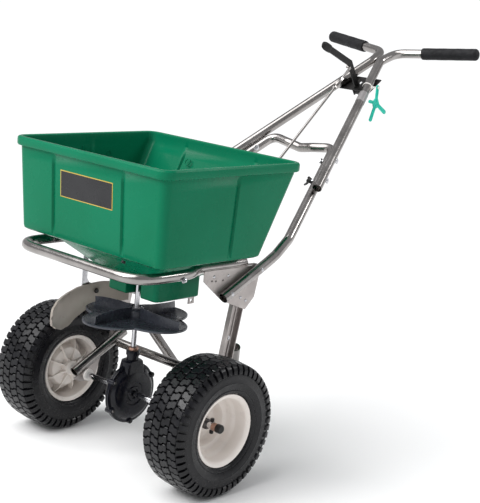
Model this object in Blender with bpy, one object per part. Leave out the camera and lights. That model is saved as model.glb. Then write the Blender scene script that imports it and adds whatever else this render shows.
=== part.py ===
"""Push broadcast spreader: hopper, gate, impeller, gear train, two wheels, tube frame and handle.

Metres, +Z up. The pieces are laid out with the axle along X at y = 0, the handle towards +Y and the
ground at z = 0, then everything is moved along Y so that the origin is under the middle of the box.
"""
import math

import bmesh
import bpy
from mathutils import Matrix, Vector

# Driving dimensions
GAP = 0.0003
AXLE_Z = 0.165
AXLE_R = 0.0079
AXLE_HALF = 0.3145
WHEEL_X = 0.2746
TYRE_R = 0.165
TYRE_HALF = 0.0635
TYRE_SIDES = 36
TUBE_R = 0.0127
SHAFT_R = 0.0064
HOPPER_TOP = 0.778
HOPPER_BASE = 0.548
NECK_BOTTOM = 0.4175
NECK_HALF_X = 0.0875
NECK_FRONT = -0.023
NECK_REAR = 0.130
GATE_Z = 0.4130
GATE_THICK = 0.003
IMPELLER_Z = 0.357
IMPELLER_R = 0.152
CROWN_TEETH = 32
PINION_TEETH = 8
MESH_X = 0.010
PLATE_X = 0.2005
PLATE_THICK = 0.003
FRAME_TUBE_Z = 0.522
HANDLE_X = 0.2165
STRUT_X = 0.180
LEG_TOP = Vector((0.193, 0.157, 0.455))
LEG_BOTTOM = Vector((0.193, 0.118, 0.235))
OVERLAP = Vector((0.152, 0.509, 0.7495))
NECK_WELD = Vector((0.0131, 0.867, 1.004))
GRIP_ROOT = Vector((0.025, 0.9239, 1.0288))
GRIP_END = Vector((0.2600, 0.9812, 1.0521))
LEVER_PIVOT = Vector((0.0, 0.795, 0.921))
LEVER_ELBOW = Vector((0.0, 0.745, 0.996))
LEVER_TIP = Vector((0.0, 0.650, 1.032))
ROD_TOP = Vector((0.0, 0.7405, 0.9853))
ROD_FOOT = Vector((0.0, 0.143, 0.425))
ROD_X = 0.0075
ROD_R = 0.0038

HANDLE_RUN = (NECK_WELD - OVERLAP).normalized()
HANDLE_SIDE = (Vector((1, 0, 0)) - HANDLE_RUN.x * HANDLE_RUN).normalized()
HANDLE_UNDER = HANDLE_RUN.cross(HANDLE_SIDE)
TUBE_PITCH = 2 * TUBE_R + 0.0008
NEST_ANGLE = math.radians(38)
NEST = TUBE_PITCH * (math.sin(NEST_ANGLE) * HANDLE_UNDER - math.cos(NEST_ANGLE) * HANDLE_SIDE)
BOLT_LINE = OVERLAP + NEST.dot(HANDLE_UNDER) / 2 * HANDLE_UNDER


def clear_scene():
    for old in list(bpy.data.objects):
        bpy.data.objects.remove(old, do_unlink=True)


def material(name, colour, roughness, metallic=0.0):
    made = bpy.data.materials.new(name)
    made.use_nodes = True
    shader = made.node_tree.nodes["Principled BSDF"]
    shader.inputs["Base Color"].default_value = (*colour, 1.0)
    shader.inputs["Roughness"].default_value = roughness
    shader.inputs["Metallic"].default_value = metallic
    return made


def finish(name, bm, look, origin=(0.0, 0.0, 0.0)):
    """Turn a bmesh in layout coordinates into an object whose origin is at the given point."""
    bmesh.ops.recalc_face_normals(bm, faces=bm.faces)
    bmesh.ops.translate(bm, verts=bm.verts, vec=-Vector(origin))
    mesh = bpy.data.meshes.new(name)
    bm.to_mesh(mesh)
    bm.free()
    mesh.materials.append(look)
    mesh.shade_smooth()
    mesh.set_sharp_from_angle(angle=math.radians(35))
    made = bpy.data.objects.new(name, mesh)
    made.location = origin
    bpy.context.collection.objects.link(made)
    return made


def combine(target, tool, operation):
    """Add or cut a helper solid, which isn't a piece itself."""
    tool.hide_render = True
    tool.display_type = "WIRE"
    boolean = target.modifiers.new(tool.name, "BOOLEAN")
    boolean.operation = operation
    boolean.object = tool


def ring_frame(axis):
    along = Vector(axis).normalized()
    helper = Vector((0, 0, 1)) if abs(along.z) < 0.9 else Vector((0, 1, 0))
    first = helper.cross(along).normalized()
    return first, along.cross(first), along


def ring(bm, centre, frame, radius, count, turn=0.0):
    first, second, _ = frame
    angles = [turn + 2 * math.pi * step / count for step in range(count)]
    return [bm.verts.new(centre + radius * (math.cos(a) * first + math.sin(a) * second)) for a in angles]


def bridge(bm, lower, upper):
    """Join two rings; a ring of one point is a pole."""
    count = max(len(lower), len(upper))
    for step in range(count):
        after = (step + 1) % count
        corners = [lower[step % len(lower)], lower[after % len(lower)],
                   upper[after % len(upper)], upper[step % len(upper)]]
        bm.faces.new(list(dict.fromkeys(corners)))


def add_turned(bm, profile, centre, axis=(1, 0, 0), steps=24, turn=0.0):
    """Turn a closed outline of (radius, distance along the axis); radius 0 is a pole."""
    frame = ring_frame(axis)
    rings = []
    for radius, along in profile:
        middle = Vector(centre) + frame[2] * along
        rings.append(ring(bm, middle, frame, radius, steps, turn) if radius else [bm.verts.new(middle)])
    for lower, upper in zip(rings, rings[1:] + rings[:1]):
        if len(lower) + len(upper) > 2:
            bridge(bm, lower, upper)


def add_rod(bm, start, end, radius, steps=12):
    start, end = Vector(start), Vector(end)
    length = (end - start).length
    add_turned(bm, [(0, 0), (radius, 0), (radius, length), (0, length)], start, end - start, steps)


def add_box(bm, low, high):
    for vert in bmesh.ops.create_cube(bm, size=1.0)["verts"]:
        vert.co = Vector([a + (c + 0.5) * (b - a) for a, b, c in zip(low, high, vert.co)])


def add_prism(bm, outline, low, high, axis="X"):
    """Extrude a flat outline along an axis; its points are in the other two axes, in order."""
    def place(u, v, w):
        return {"X": (w, u, v), "Y": (u, w, v), "Z": (u, v, w)}[axis]
    bottom = [bm.verts.new(place(u, v, low)) for u, v in outline]
    top = [bm.verts.new(place(u, v, high)) for u, v in outline]
    bridge(bm, bottom, top)
    bm.faces.new(bottom)
    bm.faces.new(top)


def add_tube(bm, points, radius, sides=10):
    """Sweep a circle along a line of points, carrying its frame smoothly round the bends."""
    points = [Vector(p) for p in points]
    ways = [(b - a).normalized() for a, b in zip(points, points[1:])]
    tangents = [ways[0]] + [(a + b).normalized() for a, b in zip(ways, ways[1:])] + [ways[-1]]
    first = ring_frame(tangents[0])[0]
    rings = []
    for point, tangent in zip(points, tangents):
        first = (first - first.dot(tangent) * tangent).normalized()
        rings.append(ring(bm, point, (first, tangent.cross(first), tangent), radius, sides))
    for lower, upper in zip(rings, rings[1:]):
        bridge(bm, lower, upper)
    bm.faces.new(rings[0])
    bm.faces.new(rings[-1])


def rounded(points, radius, steps=4):
    """Replace each inner corner of a line by a smooth bend."""
    points = [Vector(p) for p in points]
    line = [points[0]]
    for before, corner, after in zip(points, points[1:], points[2:]):
        back, ahead = before - corner, after - corner
        half = back.angle(ahead) / 2
        cut = min(radius / math.tan(half), 0.45 * back.length, 0.45 * ahead.length)
        start, end = corner + back.normalized() * cut, corner + ahead.normalized() * cut
        for step in range(steps + 1):
            t = step / steps
            line.append(start * (1 - t) ** 2 + corner * 2 * t * (1 - t) + end * t ** 2)
    return line + [points[-1]]


def mirrored(point, side):
    return Vector((point[0] * side, point[1], point[2]))


def drill(target, start, end, radius, sides=12):
    bm = bmesh.new()
    add_rod(bm, start, end, radius, sides)
    combine(target, finish(f"cut_{target.name}_{len(target.modifiers)}", bm, LOOKS["steel"]), "DIFFERENCE")


def cut_box(target, low, high, operation="DIFFERENCE"):
    bm = bmesh.new()
    add_box(bm, low, high)
    tool = finish(f"cut_{target.name}_{len(target.modifiers)}", bm, LOOKS["steel"])
    combine(target, tool, operation)


def make_looks():
    return {
        "green": material("hopper_green", (0.02, 0.26, 0.15), 0.35),
        "stainless": material("stainless_tube", (0.62, 0.60, 0.59), 0.22, 1.0),
        "steel": material("zinc_steel", (0.55, 0.56, 0.58), 0.35, 1.0),
        "black": material("black_plastic", (0.02, 0.02, 0.022), 0.5),
        "tyre": material("tyre_rubber", (0.025, 0.027, 0.028), 0.85),
        "cream": material("rim_cream", (0.80, 0.77, 0.66), 0.4),
        "grip": material("grip_foam", (0.015, 0.015, 0.016), 0.9),
        "nylon": material("white_nylon", (0.85, 0.85, 0.82), 0.45),
        "bronze": material("bronze", (0.55, 0.38, 0.20), 0.35, 1.0),
        "sand": material("deflector_plastic", (0.45, 0.38, 0.30), 0.5),
        "teal": material("key_teal", (0.02, 0.42, 0.38), 0.4),
        "impeller": material("impeller_plastic", (0.07, 0.075, 0.09), 0.5),
        "gear": material("gear_nylon", (0.65, 0.63, 0.55), 0.45),
    }


# Hopper and gate

def hopper_ring(bm, half_x, y_low, y_high, corner, z, steps=4):
    """One level of the hopper: a rectangle with round corners."""
    middles = [(half_x - corner, y_high - corner), (corner - half_x, y_high - corner),
               (corner - half_x, y_low + corner), (half_x - corner, y_low + corner)]
    verts = []
    for quarter, (x, y) in enumerate(middles):
        for step in range(steps + 1):
            angle = math.pi / 2 * (quarter + step / steps)
            verts.append(bm.verts.new((x + corner * math.cos(angle), y + corner * math.sin(angle), z)))
    return verts


def make_hopper():
    wall = 0.004
    floor = NECK_BOTTOM + wall
    outside = [(NECK_HALF_X, NECK_FRONT, NECK_REAR, 0.012, NECK_BOTTOM),
               (NECK_HALF_X, NECK_FRONT, NECK_REAR, 0.012, 0.470),
               (0.110, -0.055, 0.145, 0.014, 0.478),
               (0.168, -0.130, 0.150, 0.018, 0.5375),
               (0.238, -0.166, 0.153, 0.018, HOPPER_BASE),
               (0.2495, -0.1774, 0.164, 0.020, 0.558),
               (0.2587, -0.1920, 0.2545, 0.022, 0.757),
               (0.2697, -0.2031, 0.2655, 0.033, 0.7575),
               (0.2697, -0.2031, 0.2655, 0.033, HOPPER_TOP)]
    inside = [(0.2547, -0.1880, 0.2505, 0.018, HOPPER_TOP),
              (0.2455, -0.1734, 0.1600, 0.016, 0.560),
              (0.165, -0.127, 0.147, 0.015, 0.5415),
              (0.107, -0.052, 0.142, 0.011, 0.482),
              (NECK_HALF_X - wall, NECK_FRONT + wall, NECK_REAR - wall, 0.008, 0.474),
              (NECK_HALF_X - wall, NECK_FRONT + wall, NECK_REAR - wall, 0.008, floor)]
    bm = bmesh.new()
    rings = [hopper_ring(bm, *level) for level in outside + inside]
    for lower, upper in zip(rings, rings[1:]):
        bridge(bm, lower, upper)
    bm.faces.new(rings[0])
    bm.faces.new(rings[-1])
    hopper = finish("hopper", bm, LOOKS["green"])
    roof = 0.4745
    cut_box(hopper, (-0.024, NECK_FRONT + 0.002, NECK_BOTTOM + 0.002), (0.024, 0.016, roof + wall), "UNION")
    cut_box(hopper, (-0.020, NECK_FRONT - 0.01, NECK_BOTTOM - 0.01), (0.020, 0.012, roof))
    drill(hopper, (0, 0, roof - 0.005), (0, 0, roof + 0.01), SHAFT_R + 0.0012)
    cut_box(hopper, (-0.030, 0.030, NECK_BOTTOM - 0.01), (0.030, 0.085, floor + 0.01))


def make_gate():
    bm = bmesh.new()
    add_box(bm, (-0.060, 0.020, 0.4075), (0.060, 0.128, NECK_BOTTOM - GAP))
    guide = finish("shutoff_guide", bm, LOOKS["steel"])
    cut_box(guide, (-0.0505, 0.010, 0.4122), (0.0505, 0.140, 0.430))
    cut_box(guide, (-0.030, 0.030, 0.400), (0.030, 0.085, 0.420))

    top = GATE_Z + GATE_THICK
    bm = bmesh.new()
    add_box(bm, (-0.050, 0.022, GATE_Z), (0.050, 0.150, top))
    gate = finish("shutoff_plate", bm, LOOKS["steel"])
    cut_box(gate, (0.0465, 0.130, 0.388), (0.0495, 0.150, GATE_Z + 0.001), "UNION")
    cut_box(gate, (-0.006, 0.134, top - 0.001), (-0.003, 0.1495, 0.434), "UNION")
    drill(gate, (0.040, 0.140, 0.397), (0.060, 0.140, 0.397), 0.0045)
    drill(gate, (-0.02, 0.143, 0.425), (0.02, 0.143, 0.425), 0.004)


# Gear train and impeller

def make_shaft():
    bottom = AXLE_Z + 0.0245
    bm = bmesh.new()
    add_rod(bm, (0, 0, bottom), (0, 0, 0.4985), SHAFT_R, 16)
    finish("vertical_shaft", bm, LOOKS["steel"], (0, 0, bottom))

    bore = SHAFT_R + GAP
    bm = bmesh.new()
    add_turned(bm, [(bore, 0), (0.0135, 0), (0.0135, 0.012), (bore, 0.012)], (0, 0, 0.4835), (0, 0, 1), 16)
    agitator = finish("agitator", bm, LOOKS["steel"], (0, 0, 0.4835))
    for side in (-1, 1):
        bm = bmesh.new()
        add_tube(bm, rounded([(0.009 * side, 0, 0.4895), (0.024 * side, 0, 0.4895), (0.036 * side, 0, 0.508)],
                             0.01, 3), 0.003, 8)
        combine(agitator, finish(f"cut_agitator_arm_{side}", bm, LOOKS["steel"]), "UNION")

    neck_top = 0.275
    bm = bmesh.new()
    add_turned(bm, [(bore + 0.0002, 0), (0.0125, 0), (0.0125, 0.007), (bore + 0.0002, 0.007)],
               (0, 0, neck_top + GAP), (0, 0, 1), 16)
    finish("shaft_bushing", bm, LOOKS["bronze"])


def lobed_outline(count=48):
    """Four round lobes between a small and a large radius."""
    mean, swing = IMPELLER_R - 0.016, 0.016
    points = []
    for step in range(count):
        angle = 2 * math.pi * step / count
        radius = mean + swing * math.cos(4 * angle)
        points.append((radius * math.cos(angle), radius * math.sin(angle)))
    return points


def make_impeller():
    low, thick = IMPELLER_Z, 0.003
    bore = SHAFT_R + GAP
    bm = bmesh.new()
    add_prism(bm, lobed_outline(), low, low + thick, "Z")
    impeller = finish("impeller", bm, LOOKS["impeller"], (0, 0, low))
    bm = bmesh.new()
    add_rod(bm, (0, 0, low - 0.018), (0, 0, low + 0.020), 0.019, 16)
    combine(impeller, finish("cut_impeller_hub", bm, LOOKS["impeller"]), "UNION")
    for quarter in range(4):
        bm = bmesh.new()
        add_box(bm, (0.014, -0.0015, low + 0.001), (0.132, 0.0015, low + 0.028))
        turn = Matrix.Rotation(math.radians(90 * quarter), 4, "Z")
        bmesh.ops.transform(bm, matrix=turn, verts=bm.verts)
        combine(impeller, finish(f"cut_impeller_fin_{quarter}", bm, LOOKS["impeller"]), "UNION")
    drill(impeller, (0, 0, low - 0.03), (0, 0, low + 0.05), bore, 16)


def make_gears():
    back, root, tip = -0.0215, -(MESH_X + 0.0028), -(MESH_X - 0.0008)
    columns = 2 * CROWN_TEETH
    bm = bmesh.new()
    rings = []
    for column in range(columns):
        angle = math.pi / 2 + 2 * math.pi * column / columns
        crest = tip if column % 2 else root
        way = Vector((0, math.cos(angle), math.sin(angle)))
        section = [(0.0083, back), (0.0083, root), (0.0295, root), (0.0300, crest - 0.0002), (0.050, crest),
                   (0.050, back)]
        rings.append([bm.verts.new(Vector((x, 0, AXLE_Z)) + way * r) for r, x in section])
    for lower, upper in zip(rings, rings[1:] + rings[:1]):
        bridge(bm, lower, upper)
    finish("crown_gear", bm, LOOKS["gear"], (0, 0, AXLE_Z))

    low, high = AXLE_Z + 0.031, AXLE_Z + 0.048
    tip_r, root_r, bore = MESH_X + 0.0014, MESH_X - 0.0018, SHAFT_R + GAP
    outer = []
    for tooth in range(PINION_TEETH):
        middle = math.pi + 2 * math.pi * tooth / PINION_TEETH
        for share, radius in ((-0.24, root_r), (-0.09, tip_r), (0.09, tip_r), (0.24, root_r)):
            angle = middle + share * 2 * math.pi / PINION_TEETH
            outer.append((radius * math.cos(angle), radius * math.sin(angle)))
    bm = bmesh.new()
    add_prism(bm, outer, low, high, "Z")
    pinion = finish("pinion_gear", bm, LOOKS["gear"], (0, 0, low))
    drill(pinion, (0, 0, low - 0.01), (0, 0, high + 0.01), bore, 16)


def make_gearbox():
    """Two halves of one casing, split where the vertical shaft runs."""
    low, high, neck_r, neck_top = -0.028, 0.0175, 0.0172, 0.275
    for name, start, stop in (("gearbox_left", -GAP / 2, 0.05), ("gearbox_right", -0.05, GAP / 2)):
        bm = bmesh.new()
        add_rod(bm, (low, 0, AXLE_Z), (high, 0, AXLE_Z), 0.078, 28)
        half = finish(name, bm, LOOKS["black"], (0, 0, AXLE_Z))
        bm = bmesh.new()
        add_rod(bm, (0, 0, AXLE_Z), (0, 0, neck_top), neck_r, 16)
        combine(half, finish(f"cut_{name}_neck", bm, LOOKS["black"]), "UNION")
        drill(half, (-0.0245, 0, AXLE_Z), (0.0135, 0, AXLE_Z), 0.056, 24)
        drill(half, (0, 0, AXLE_Z), (0, 0, AXLE_Z + 0.062), 0.0134, 16)
        drill(half, (0, 0, AXLE_Z), (0, 0, neck_top + 0.01), SHAFT_R + 0.0005, 16)
        drill(half, (-0.05, 0, AXLE_Z), (0.05, 0, AXLE_Z), AXLE_R + 0.0005, 16)
        cut_box(half, (start, -0.1, 0.05), (stop, 0.1, 0.30))


# Wheels and axle

def make_tyre(name, side):
    half = TYRE_HALF
    apothem = math.cos(math.pi / TYRE_SIDES)
    shoulder = [(0.0825, 0.0499), (0.0899, 0.0499), (0.0904, 0.0548), (0.102, 0.0600), (0.130, half),
                (0.149, 0.0605), (0.160, 0.049), (TYRE_R / apothem, 0.030)]
    profile = [(r, -x) for r, x in shoulder] + [(r, x) for r, x in reversed(shoulder)]
    bm = bmesh.new()
    centre = (side * WHEEL_X, 0, AXLE_Z)
    add_turned(bm, profile, centre, (1, 0, 0), TYRE_SIDES, math.pi / TYRE_SIDES)
    finish(name, bm, LOOKS["tyre"], centre)


def make_rim(name, side):
    """A deep dish with its hub well inside the wheel; distances run outwards."""
    bore, hub, flange, edge = AXLE_R + 0.0004, 0.019, 0.0894, 0.0535
    dish = [(bore, -0.011), (hub, -0.011), (0.021, -0.028), (0.046, -0.030), (0.056, -0.006), (0.068, 0.0),
            (0.0765, 0.016), (0.0765, edge), (flange, edge), (flange, 0.0503), (0.0812, 0.0503)]
    back = [(0.0812, -0.0503), (flange, -0.0503), (flange, -edge), (0.0785, -edge), (0.0785, 0.008),
            (0.069, -0.0035), (0.058, -0.0095), (0.0475, -0.0335), (hub, -0.0315), (hub, -0.052),
            (bore, -0.052)]
    bm = bmesh.new()
    centre = (side * WHEEL_X, 0, AXLE_Z)
    add_turned(bm, [(r, side * x) for r, x in dish + back], centre, (1, 0, 0), 24)
    finish(name, bm, LOOKS["cream"], centre)


def make_axle():
    pin_x, bore = 0.286, AXLE_R + GAP
    bm = bmesh.new()
    add_rod(bm, (-AXLE_HALF, 0, AXLE_Z), (AXLE_HALF, 0, AXLE_Z), AXLE_R, 16)
    axle = finish("axle", bm, LOOKS["steel"], (0, 0, AXLE_Z))
    for word, side in (("left", -1), ("right", 1)):
        drill(axle, (side * pin_x, 0, AXLE_Z - 0.02), (side * pin_x, 0, AXLE_Z + 0.02), 0.0029)
        bm = bmesh.new()
        add_rod(bm, (side * pin_x, 0, AXLE_Z - 0.019), (side * pin_x, 0, AXLE_Z + 0.019), 0.0025, 10)
        finish(f"axle_pin_{word}", bm, LOOKS["steel"], (side * pin_x, 0, AXLE_Z))
        bm = bmesh.new()
        add_turned(bm, [(bore, 0), (0.0130, 0), (0.0130, 0.009), (bore, 0.009)],
                   (side * (WHEEL_X - 0.0105), 0, AXLE_Z), (side, 0, 0), 16)
        finish(f"axle_collar_{word}", bm, LOOKS["bronze"], (side * WHEEL_X, 0, AXLE_Z))
        bm = bmesh.new()
        add_turned(bm, [(bore, 0), (0.0108, 0), (0.0108, 0.011), (0.0085, 0.0135), (0, 0.0135), (0, 0.0108),
                        (bore, 0.0108)], (side * (AXLE_HALF - 0.010), 0, AXLE_Z), (side, 0, 0), 16)
        finish(f"axle_cap_{word}", bm, LOOKS["black"], (side * AXLE_HALF, 0, AXLE_Z))


# Frame

def make_front_tube():
    half, rear_x, z = 0.217, 0.1865, FRAME_TUBE_Z
    right = [(half, -0.212, z), (half, -0.05, z), (rear_x, 0.01, z), (rear_x, 0.172, z)]
    path = [mirrored(p, -1) for p in reversed(right)] + [Vector(p) for p in right]
    bm = bmesh.new()
    add_tube(bm, rounded(path, 0.105, 6), TUBE_R, 10)
    finish("front_tube", bm, LOOKS["stainless"])


def plate_hole(step):
    """Centres of the two bolts that hold the handle to a side plate."""
    return Vector((HANDLE_X, 0.094 + 0.100 * step, 0.4600 + 0.0495 * step))


def make_side(word, side):
    outline = [(0.016, 0.5180), (0.0165, 0.4930), (0.085, 0.4390), (0.1185, 0.4263), (0.1708, 0.4069),
               (0.2004, 0.4359), (0.2114, 0.4904), (0.2080, 0.5160)]
    ends = sorted((side * PLATE_X, side * (PLATE_X + PLATE_THICK)))
    bm = bmesh.new()
    add_prism(bm, outline, *ends, "X")
    plate = finish(f"side_plate_{word}", bm, LOOKS["stainless"])
    for step in (0, 1):
        spot = plate_hole(step)
        drill(plate, (side * 0.19, spot.y, spot.z), (side * 0.21, spot.y, spot.z), 0.0046)
        bm = bmesh.new()
        inner, outer = PLATE_X - 0.0004, HANDLE_X + TUBE_R + 0.0004
        profile = [(0, -0.007), (0.0075, -0.007), (0.0075, 0), (0.0040, 0), (0.0040, outer - inner),
                   (0.0075, outer - inner), (0.0075, outer - inner + 0.0055), (0, outer - inner + 0.0055)]
        add_turned(bm, profile, (side * inner, spot.y, spot.z), (side, 0, 0), 12)
        row = "front" if step == 0 else "rear"
        finish(f"plate_bolt_{row}_{word}", bm, LOOKS["steel"], (side * PLATE_X, spot.y, spot.z))

    make_leg(word, side)
    make_strut(word, side)


def make_leg(word, side):
    """A channel with its web inwards, leaning forward towards the ground."""
    web, depth, thick = 0.040, 0.0135, 0.0025
    top, bottom = mirrored(LEG_TOP, side), mirrored(LEG_BOTTOM, side)
    inner, outer = 0.1865, 0.1865 + depth
    section = [(inner, -web / 2), (outer, -web / 2), (outer, thick - web / 2), (inner + thick, thick - web / 2),
               (inner + thick, web / 2 - thick), (outer, web / 2 - thick), (outer, web / 2), (inner, web / 2)]
    bm = bmesh.new()
    ends = []
    for place in (bottom, top):
        ends.append([bm.verts.new((side * x, place.y + y, place.z)) for x, y in section])
    bridge(bm, *ends)
    bm.faces.new(ends[0])
    bm.faces.new(ends[1])
    finish(f"leg_{word}", bm, LOOKS["stainless"])


def make_strut(word, side):
    start, end = Vector((0.1735, -0.036, 0.1735)), Vector((0.1735, 0.128, 0.2607))
    bm = bmesh.new()
    add_tube(bm, [mirrored(start, side), mirrored(end, side)], 0.0124, 10)
    finish(f"axle_strut_{word}", bm, LOOKS["stainless"])

    inner, thick, bush_r = 0.1690, 0.0035, 0.0105
    outline = [(-0.038, 0.1577), (-0.020, 0.1470), (0.020, 0.1460), (0.030, 0.1500), (0.046, 0.2024)]
    ends = sorted((side * inner, side * (inner + thick)))
    bm = bmesh.new()
    add_prism(bm, outline, *ends, "X")
    plate = finish(f"bearing_plate_{word}", bm, LOOKS["stainless"])
    drill(plate, (side * 0.16, 0, AXLE_Z), (side * 0.18, 0, AXLE_Z), bush_r, 16)

    bore, sleeve, flange = AXLE_R + 0.0004, bush_r - GAP, 0.0160
    profile = [(bore, 0.0085), (bore, -0.0130), (flange, -0.0130), (flange, -0.0085), (sleeve, -0.0085),
               (sleeve, 0.0085)]
    bm = bmesh.new()
    add_turned(bm, profile, (side * inner, 0, AXLE_Z), (side, 0, 0), 16)
    finish(f"axle_bearing_{word}", bm, LOOKS["nylon"], (side * inner, 0, AXLE_Z))


def make_stand():
    bm = bmesh.new()
    add_tube(bm, [(-0.1605, 0.100, 0.2365), (0.1605, 0.100, 0.2365)], 0.0115, 10)
    finish("cross_tube", bm, LOOKS["stainless"])

    height = 0.0063 + TUBE_R
    right = [(0.030, 0.345, height), (0.1725, 0.185, 0.300)]
    path = [mirrored(p, -1) for p in reversed(right)] + [Vector(p) for p in right]
    bm = bmesh.new()
    add_tube(bm, rounded(path, 0.035), TUBE_R, 10)
    finish("rear_stand", bm, LOOKS["stainless"])
    bm = bmesh.new()
    add_box(bm, (-0.030, 0.325, 0.0), (0.030, 0.365, 0.006))
    finish("stand_foot", bm, LOOKS["black"])


# Handle and control

def bolt_places():
    """Distances along the handle of the wing bolt and of the hex bolt, from the overlap point."""
    return {"handle_wing": -0.064, "handle_bolt": 0.017}


def make_lower_handle():
    base = OVERLAP + NEST
    right = [(0.0, 0.5665, 0.7635), (0.045, 0.5665, 0.7710), base + 0.083 * HANDLE_RUN, base - 0.285 * HANDLE_RUN,
             (HANDLE_X, 0.252, 0.5400), (HANDLE_X, 0.222, 0.5234), (HANDLE_X, 0.074, 0.4497)]
    path = [mirrored(p, -1) for p in reversed(right[1:])] + right
    bm = bmesh.new()
    add_tube(bm, rounded(path, 0.036, 4), TUBE_R, 10)
    lower = finish("lower_handle", bm, LOOKS["stainless"])
    for side in (-1, 1):
        for step in (0, 1):
            spot = plate_hole(step)
            drill(lower, (side * 0.19, spot.y, spot.z), (side * 0.24, spot.y, spot.z), 0.0046)
        drill_handle(lower, side)


def drill_handle(target, side):
    for along in bolt_places().values():
        spot = BOLT_LINE + along * HANDLE_RUN
        start, end = spot - 0.06 * HANDLE_SIDE, spot + 0.03 * HANDLE_SIDE
        drill(target, mirrored(start, side), mirrored(end, side), 0.0038)


def make_upper_handle(word, side):
    low = OVERLAP - 0.105 * HANDLE_RUN
    path = [mirrored(p, side) for p in (low, NECK_WELD, GRIP_ROOT, GRIP_END)]
    bm = bmesh.new()
    add_tube(bm, rounded(path, 0.045, 5), TUBE_R, 10)
    handle = finish(f"upper_handle_{word}", bm, LOOKS["stainless"])
    drill_handle(handle, side)

    way = mirrored(GRIP_END - GRIP_ROOT, side).normalized()
    bore, outer, length, wall = TUBE_R + 0.0006, 0.0168, 0.168, 0.004
    profile = [(bore, 0), (outer, 0.002), (outer, length - 0.006), (outer - 0.006, length), (0, length),
               (0, length - wall), (bore, length - wall)]
    start = mirrored(GRIP_END, side) - way * (length - wall - 0.0004)
    bm = bmesh.new()
    add_turned(bm, profile, start, way, 14)
    finish(f"grip_{word}", bm, LOOKS["grip"])


def make_handle_bolts(word, side):
    out = mirrored(HANDLE_SIDE, side)
    span = 2 * TUBE_R - NEST.dot(HANDLE_SIDE) + 0.0008
    for name, along in bolt_places().items():
        spot = mirrored(BOLT_LINE + along * HANDLE_RUN, side)
        wing = name == "handle_wing"
        head = 0.014 if wing else 0.005
        axis = -out if wing else out
        start = spot + out * (TUBE_R + 0.0004 - (0 if wing else span))
        profile = [(0, -0.006), (0.0065, -0.006), (0.0065, 0), (0.0032, 0), (0.0032, span), (0.0075, span),
                   (0.0075, span + head), (0, span + head)]
        bm = bmesh.new()
        add_turned(bm, profile, start, axis, 12)
        look = LOOKS["black"] if wing else LOOKS["steel"]
        bolt = finish(f"{name}_{word}", bm, look, spot)
        if wing:
            middle = start + axis * (span + 0.0106)
            bm = bmesh.new()
            add_box(bm, (-0.021, -0.003, -0.0055), (0.021, 0.003, 0.0055))
            frame = Matrix((mirrored(HANDLE_RUN, side), out.cross(mirrored(HANDLE_RUN, side)), out))
            frame = frame.transposed().to_4x4()
            frame.translation = middle
            bmesh.ops.transform(bm, matrix=frame, verts=bm.verts)
            combine(bolt, finish(f"cut_{name}_{word}", bm, look), "UNION")


def bar_outline(points, width):
    """Outline of a flat bar that follows a line in the YZ plane, with mitred bends."""
    flat = [Vector((p.y, p.z)) for p in points]
    ways = [(b - a).normalized() for a, b in zip(flat, flat[1:])]
    sides = [Vector((-w.y, w.x)) for w in ways]
    offsets = [sides[0]]
    for a, b in zip(sides, sides[1:]):
        middle = (a + b).normalized()
        offsets.append(middle / middle.dot(a))
    offsets.append(sides[-1])
    left = [p + o * width / 2 for p, o in zip(flat, offsets)]
    right = [p - o * width / 2 for p, o in zip(flat, offsets)]
    return [tuple(p) for p in left + right[::-1]]


def make_lever():
    low = LEVER_PIVOT + (LEVER_PIVOT - LEVER_ELBOW).normalized() * 0.008
    bm = bmesh.new()
    add_prism(bm, bar_outline([low, LEVER_ELBOW, LEVER_TIP], 0.018), -0.002, 0.002, "X")
    lever = finish("lever", bm, LOOKS["black"], LEVER_PIVOT)
    for spot, radius in ((LEVER_PIVOT, 0.0037), (ROD_TOP, ROD_R + 0.0006)):
        drill(lever, (-0.01, spot.y, spot.z), (0.01, spot.y, spot.z), radius, 14)

    way = (LEVER_TIP - LEVER_ELBOW).normalized()
    profile = [(0, 0), (0.008, 0), (0.0115, 0.008), (0.0125, 0.022), (0.009, 0.034), (0, 0.038)]
    bm = bmesh.new()
    add_turned(bm, profile, LEVER_TIP + way * GAP, way, 14)
    finish("lever_knob", bm, LOOKS["black"], LEVER_PIVOT)

    bm = bmesh.new()
    shank, head = 0.0108, 0.0045
    add_turned(bm, [(0, -shank - head), (0.0065, -shank - head), (0.0065, -shank), (0.0032, -shank),
                    (0.0032, shank), (0.0065, shank), (0.0065, shank + head), (0, shank + head)],
               LEVER_PIVOT, (1, 0, 0), 12)
    finish("lever_pivot_bolt", bm, LOOKS["steel"], LEVER_PIVOT)


def make_bracket():
    """A slotted plate under the handle tubes, with two ears that hold the lever's pivot."""
    slope = math.atan2(HANDLE_RUN.z, HANDLE_RUN.y)
    along = (LEVER_PIVOT.y - OVERLAP.y) / HANDLE_RUN.y
    middle = Vector((0, LEVER_PIVOT.y, (OVERLAP + along * HANDLE_RUN).z))
    frame = Matrix.Translation(middle) @ Matrix.Rotation(slope, 4, "X")

    def tilted(name, low, high):
        bm = bmesh.new()
        add_box(bm, low, high)
        bmesh.ops.transform(bm, matrix=frame, verts=bm.verts)
        return finish(name, bm, LOOKS["black"])

    plate = tilted("lever_bracket", (-0.056, -0.034, -0.0165), (0.056, 0.026, -0.0135))
    for side in (-1, 1):
        near, far = sorted((side * 0.0064, side * 0.0094))
        combine(plate, tilted(f"cut_ear_{side}", (near, -0.030, -0.036), (far, 0.004, -0.015)), "UNION")
    combine(plate, tilted("cut_slot", (-0.0046, -0.0295, -0.02), (0.0046, 0.008, 0.0)), "DIFFERENCE")
    drill(plate, LEVER_PIVOT - Vector((0.02, 0, 0)), LEVER_PIVOT + Vector((0.02, 0, 0)), 0.0037)


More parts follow.
